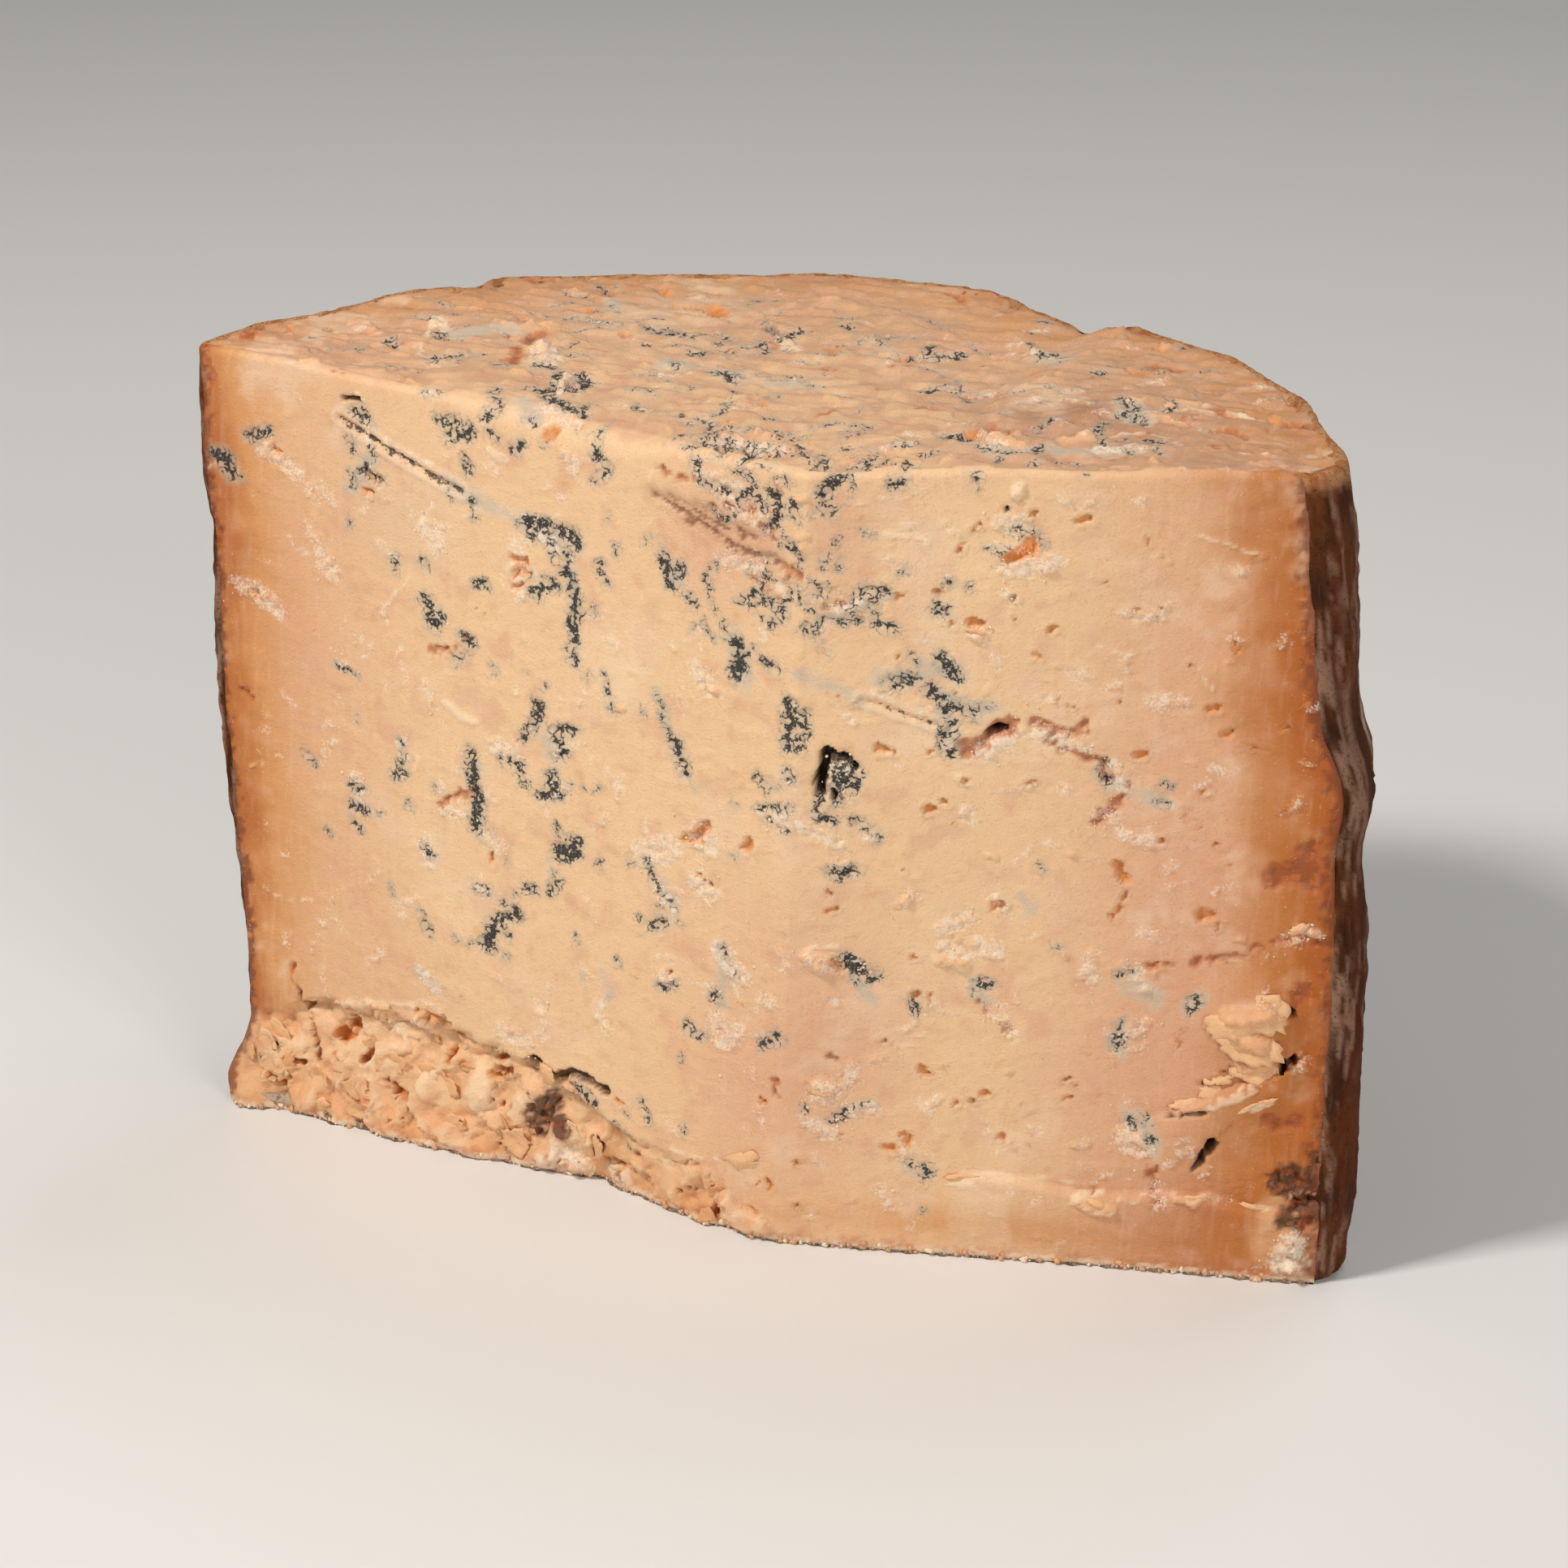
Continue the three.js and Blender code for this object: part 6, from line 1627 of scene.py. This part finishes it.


# Larger flakes, listed one by one: side, distance, height, length, width, tilt,
# lift (negative where the lower edge stands out), curl
FLAKES = (
    ("right", 77.6, 49, 9, 7, 10, -6, 0.3), ("right", 73, 47, 10, 5.4, 8, -7, 0.3),
    ("right", 75.6, 43.4, 10, 6.4, -8, -8, 0.3), ("right", 77.2, 38.8, 8.4, 5, 4, -13, 0.4),
    ("right", 71.4, 36.6, 5, 2.2, 12, -20, 0.3), ("right", 71, 34, 6, 2.4, 4, -20, 0.3),
    ("right", 66.6, 31.6, 5.4, 1.8, 4, -26, 0.2), ("right", 78, 32.6, 6.4, 1.5, 30, 20, 0.3),
    ("right", 53.4, 12.4, 5.2, 2.2, -12, 34, 0.9), ("right", 69.4, 14.6, 6, 1.6, 4, 24, 0.4),
    ("right", 27, 112, 3.2, 1.4, -14, 36, 0.3), ("right", 81.6, 63.6, 4, 2, 20, 20, 0.3),
    ("right", 31, 15.2, 5, 1.6, 4, 20, 0.3), ("right", 79, 13.4, 5, 1.6, -16, 20, 0.3),
    ("right", 7, 30, 4, 3, 10, -12, 0.2), ("left", 84, 24.4, 12, 2.2, 6, -10, 0.2),
    ("left", 60, 21, 6, 2.4, -24, 20, 0.3), ("left", 45.6, 20.2, 4, 3.4, -60, 18, 0.2),
    ("left", 92.6, 7.8, 4.4, 5, -20, 12, -0.7), ("left", 84.4, 8, 5.6, 5, 20, 10, -0.6),
    ("left", 83, 4.2, 5, 3.4, 30, 16, -0.7), ("left", 92, 2.8, 4.6, 2.6, 30, 16, 0.2),
    ("left", 77.8, 3.2, 1.3, 5, -20, 16, 0.1), ("left", 74.4, 5.4, 1.3, 4, -16, 16, 0.1),
    ("left", 52, 5, 6, 5.4, 30, 9, -0.5), ("left", 38.4, 7, 2, 5, 10, 14, 0.2),
    ("left", 36.2, 7.4, 1.8, 5.2, -8, 14, 0.2), ("left", 68, 13, 8, 5, -20, 8, -0.4),
    ("left", 78, 14, 7, 4.4, 24, 8, -0.4), ("left", 64, 6, 5, 3.4, 20, 12, -0.5),
    ("left", 102, 14, 6, 4.4, -30, 8, -0.3), ("left", 6, 14, 7, 4, 20, 10, 0.2),
    ("left", 13, 8, 2, 6, 6, 12, 0.2),
)


def add_flakes(scraps):
    for side, distance, z, length, width, tilt, lift, curl in FLAKES:
        scraps.flake(surface_frame(side, distance, z), length, width, tilt, lift, curl, CURD)
    for _ in range(TORN_FLAKES):
        distance = scraps.random.uniform(3, 110)
        z = scraps.random.uniform(1.5, max(float(torn_limit(distance)) - 1, 2.5))
        length = 1.2 + 3.8 * scraps.random.random() ** 2
        width = length * scraps.random.uniform(0.3, 0.75)
        tilt = scraps.random.normal(-18, 50)
        lift = scraps.random.uniform(6, 30)
        curl = length * scraps.random.uniform(-0.16, 0.1)
        tint = (CREAM, PEACH, PEACH)[scraps.random.integers(3)]
        scraps.flake(surface_frame("left", distance, z), length, width, tilt, lift, curl, tint)


def add_crumbs(scraps):
    for side in ("left", "right"):
        for half_width, _, *numbers in WHITES[side]:
            for _ in range(int(6 * half_width)):
                pairs = np.array(numbers, float).reshape(-1, 2)
                start = pairs[scraps.random.integers(len(pairs))]
                distance, z = start + scraps.random.normal(0, half_width * 0.9, 2)
                z = float(np.clip(z, 1.0, HEIGHT - 3))
                origin, _, _, out = surface_frame(side, abs(float(distance)), z)
                scraps.crumb(origin + out * 0.05, scraps.random.uniform(0.25, 0.6), PALE)


def add_foot_crumbs(scraps):
    """Grains along the foot, where the rind of the base breaks away."""
    for side in ("left", "right"):
        reach = float(face_length(side, 0.8))
        for _ in range(FOOT_CRUMBS):
            distance = scraps.random.uniform(1, reach - 1)
            z = 0.35 + 0.9 * scraps.random.random() ** 2
            origin, _, _, out = surface_frame(side, distance, z)
            tint = (PALE, PEACH, PINKISH, TAN)[scraps.random.integers(4)]
            away = out * scraps.random.uniform(-0.1, 0.3)
            scraps.crumb(origin + away, 0.35 + 1.1 * scraps.random.random() ** 3, tint)


def make_scraps():
    scraps = Scraps(17)
    add_flakes(scraps)
    add_crumbs(scraps)
    add_foot_crumbs(scraps)
    points = np.concatenate(scraps.points)
    points[:, 2] = np.maximum(points[:, 2], 0.05)
    piece = make_object("flakes", points, scraps.faces)
    for name in FIELDS_KEPT:
        store(piece, name, np.full(len(points), FAR_OUTSIDE))
    store(piece, "tint", np.concatenate(scraps.tints))
    store(piece, "place", points)
    return piece


# Materials


class Shade:
    """A material made of nodes, with short calls for the nodes that it uses."""

    def __init__(self, name):
        self.material = bpy.data.materials.new(name)
        self.material.use_nodes = True
        self.tree = self.material.node_tree
        self.shader = self.tree.nodes["Principled BSDF"]
        self.coords = self.tree.nodes.new("ShaderNodeTexCoord").outputs["Object"]

    def link(self, value, socket):
        if isinstance(value, bpy.types.NodeSocket):
            self.tree.links.new(value, socket)
        else:
            socket.default_value = value

    def attribute(self, name, output="Fac"):
        node = self.tree.nodes.new("ShaderNodeAttribute")
        node.attribute_name = name
        return node.outputs[output]

    def math(self, operation, first, second=0.0):
        node = self.tree.nodes.new("ShaderNodeMath")
        node.operation = operation
        self.link(first, node.inputs[0])
        self.link(second, node.inputs[1])
        return node.outputs[0]

    def step(self, value, low, high, start=0.0, end=1.0):
        node = self.tree.nodes.new("ShaderNodeMapRange")
        node.interpolation_type = "SMOOTHSTEP"
        self.link(value, node.inputs["Value"])
        for name, number in (("From Min", low), ("From Max", high), ("To Min", start), ("To Max", end)):
            node.inputs[name].default_value = number
        return node.outputs["Result"]

    def noise(self, size, detail=3.0, roughness=0.55):
        """Noise with features of a size in millimetres, about 0 to 1."""
        node = self.tree.nodes.new("ShaderNodeTexNoise")
        self.link(self.coords, node.inputs["Vector"])
        node.inputs["Scale"].default_value = 1 / (size * MM)
        node.inputs["Detail"].default_value = detail
        node.inputs["Roughness"].default_value = roughness
        return node.outputs["Fac"]

    def streaks(self, scale, detail=2.0):
        """Noise drawn out along a surface, with a scale for each direction of the surface."""
        mapping = self.tree.nodes.new("ShaderNodeMapping")
        self.link(self.attribute("place", "Vector"), mapping.inputs["Vector"])
        mapping.inputs["Scale"].default_value = scale
        node = self.tree.nodes.new("ShaderNodeTexNoise")
        self.link(mapping.outputs["Vector"], node.inputs["Vector"])
        node.inputs["Scale"].default_value = 1.0
        node.inputs["Detail"].default_value = detail
        return node.outputs["Fac"]

    def mix(self, share, first, second):
        node = self.tree.nodes.new("ShaderNodeMix")
        node.data_type = "RGBA"
        self.link(share, node.inputs[0])
        self.link(first, node.inputs[6])
        self.link(second, node.inputs[7])
        return node.outputs[2]

    def bump(self, height, distance, strength=1.0):
        node = self.tree.nodes.new("ShaderNodeBump")
        self.link(height, node.inputs["Height"])
        node.inputs["Distance"].default_value = distance * MM
        node.inputs["Strength"].default_value = strength
        return node.outputs["Normal"]

    def times(self, first, *others):
        for value in others:
            first = self.math("MULTIPLY", first, value)
        return first

    def plus(self, first, *others):
        for value in others:
            first = self.math("ADD", first, value)
        return first

    def lay(self, colour, *layers):
        """Tones laid over a colour one after the other, each with its own share."""
        for tone_over, share in layers:
            colour = self.mix(share, colour, tone_over)
        return colour

    def surface(self, colour, roughness, normal, specular):
        inputs = self.shader.inputs
        self.link(colour, inputs["Base Color"])
        self.link(roughness, inputs["Roughness"])
        self.link(normal, inputs["Normal"])
        inputs["Specular IOR Level"].default_value = specular


def white_share(shade, spread, fine):
    """Where crumbly white mould shows, ragged at its edge."""
    inmost = shade.math("MINIMUM", shade.attribute("white"), 0.5)
    speck = shade.times(shade.plus(fine, -0.5), 5.0)
    return shade.times(shade.step(shade.plus(inmost, shade.times(spread, -1.0), speck), 0.1, 0.9), 0.4)


def vein_field(shade, spread, fine):
    """The veins broken up into threads and specks."""
    web = shade.noise(1.5, 2, 0.5)
    thread = shade.times(shade.math("ABSOLUTE", shade.plus(web, -0.5)), -12.0)
    inmost = shade.math("MINIMUM", shade.attribute("vein"), 0.75)
    speck = shade.times(shade.plus(fine, -0.5), 2.6)
    return shade.plus(inmost, thread, 0.5, shade.times(spread, 0.35), speck)


def paste_material():
    shade = Shade("paste")
    grain = shade.noise(1.5, 5, 0.72)
    fine = shade.noise(0.42, 2, 0.6)
    drag = shade.streaks((0.8, 0.16, 0.8), 1.0)
    spread = shade.times(shade.plus(grain, -0.5), 5.4)
    vein = vein_field(shade, spread, fine)
    core = shade.step(vein, 0.0, 0.22)
    inside = shade.mix(shade.step(fine, 0.56, 0.7), VEIN_DARK, VEIN_ASH)
    track = shade.step(shade.plus(shade.attribute("track"), shade.times(spread, 0.7)), 0.0, 0.3)
    colour = shade.lay(
        shade.attribute("tint", "Color"),
        (PALE, shade.times(shade.step(drag, 0.56, 0.72), 0.07)),
        (PALE, shade.times(shade.step(fine, 0.66, 0.74), 0.35)),
        (BROWNED, shade.times(shade.step(fine, 0.4, 0.28), 0.2)),
        (FLECK, white_share(shade, spread, fine)),
        (VEIN_GREY, shade.times(shade.step(vein, -1.2, 0.2), 0.5)),
        (inside, shade.times(core, 0.93)),
        (inside, shade.times(track, 0.85)),
    )
    height = shade.plus(fine, shade.times(grain, 0.9), shade.times(core, -0.5))
    shade.surface(colour, shade.step(grain, 0.3, 0.7, 0.42, 0.62), shade.bump(height, 0.22, 0.75), 0.4)
    shade.shader.inputs["Subsurface Weight"].default_value = 0.12
    shade.shader.inputs["Subsurface Radius"].default_value = (1.0, 0.42, 0.18)
    shade.shader.inputs["Subsurface Scale"].default_value = 2.6 * MM
    return shade.material


def rind_material():
    shade = Shade("rind")
    fine = shade.noise(0.7, 4, 0.7)
    drag = shade.streaks((1.2, 0.16, 0.3), 3.0)
    colour = shade.lay(
        shade.attribute("tint", "Color"),
        (RIND_MAUVE, shade.times(shade.step(drag, 0.56, 0.7), 0.12)),
        (RIND_DARK, shade.times(shade.step(fine, 0.48, 0.34), 0.6)),
        (RIND_RUST, shade.times(shade.step(fine, 0.62, 0.72), 0.5)),
    )
    height = shade.plus(fine, shade.times(drag, 0.2))
    shade.surface(colour, shade.step(fine, 0.3, 0.7, 0.75, 0.95), shade.bump(height, 1.0), 0.12)
    return shade.material


def floor_material():
    shade = Shade("studio_floor")
    shade.shader.inputs["Base Color"].default_value = FLOOR_GREY
    shade.shader.inputs["Roughness"].default_value = 0.6
    return shade.material


# Studio


def make_floor():
    mesh = bpy.data.meshes.new("studio_floor")
    corners = [(x * FLOOR_REACH, y * FLOOR_REACH, 0) for x, y in ((-1, -1), (1, -1), (1, 1), (-1, 1))]
    mesh.from_pydata(corners, [], [(0, 1, 2, 3)])
    floor = bpy.data.objects.new("studio_floor", mesh)
    floor.data.materials.append(floor_material())
    bpy.context.scene.collection.objects.link(floor)


def make_camera():
    turn = math.radians(CAMERA_AZIMUTH)
    tip = math.radians(CAMERA_ELEVATION)
    right = Vector((math.cos(turn), math.sin(turn), 0))
    ahead = Vector((-math.sin(turn) * math.cos(tip), math.cos(turn) * math.cos(tip), -math.sin(tip)))
    up = right.cross(ahead)
    data = bpy.data.cameras.new("camera")
    data.sensor_fit = "HORIZONTAL"
    data.sensor_width = SENSOR_WIDTH
    data.lens = SENSOR_WIDTH / 2 / math.tan(math.radians(CAMERA_HALF_ANGLE))
    data.clip_end = 50
    camera = bpy.data.objects.new("camera", data)
    place = place_in_frame(np.array(CAMERA_PLACE))
    basis = Matrix((right, up, -ahead)).transposed().to_4x4()
    camera.matrix_world = Matrix.Translation(Vector(place)) @ basis
    bpy.context.scene.collection.objects.link(camera)
    bpy.context.scene.camera = camera


def area_light(name, place, size, energy, colour):
    data = bpy.data.lights.new(name, "AREA")
    data.shape = "RECTANGLE"
    data.size, data.size_y = size
    data.energy = energy
    data.color = colour
    light = bpy.data.objects.new(name, data)
    light.location = place
    light.rotation_euler = (Vector(LIGHT_AIM) - Vector(place)).to_track_quat("-Z", "Y").to_euler()
    bpy.context.scene.collection.objects.link(light)


def make_lights():
    area_light("key_light", (-0.6, -0.66, 1.05), (0.2, 0.2), KEY_POWER, (1.0, 0.965, 0.91))
    area_light("fill_light", (0.95, -0.75, 0.5), (0.5, 0.5), FILL_POWER, (1.0, 0.97, 0.94))
    area_light("top_light", (0.25, 0.55, 1.1), (0.6, 0.5), TOP_POWER, (1.0, 0.98, 0.96))
    world = bpy.data.worlds.new("studio_world")
    world.use_nodes = True
    background = world.node_tree.nodes["Background"]
    background.inputs["Color"].default_value = FLOOR_GREY
    background.inputs["Strength"].default_value = WORLD_STRENGTH
    bpy.context.scene.world = world
    bpy.context.scene.view_settings.view_transform = "Standard"


def main():
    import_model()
    paste = make_paste()
    rind = make_rind()
    scraps = make_scraps()
    paste.data.materials.append(paste_material())
    rind.data.materials.append(rind_material())
    scraps.data.materials.append(paste.data.materials[0])
    for piece, slot in ((paste, "paste"), (rind, "rind"), (scraps, "paste")):
        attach(piece, "root")
        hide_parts(NODE)
    make_floor()
    make_camera()
    make_lights()


main()
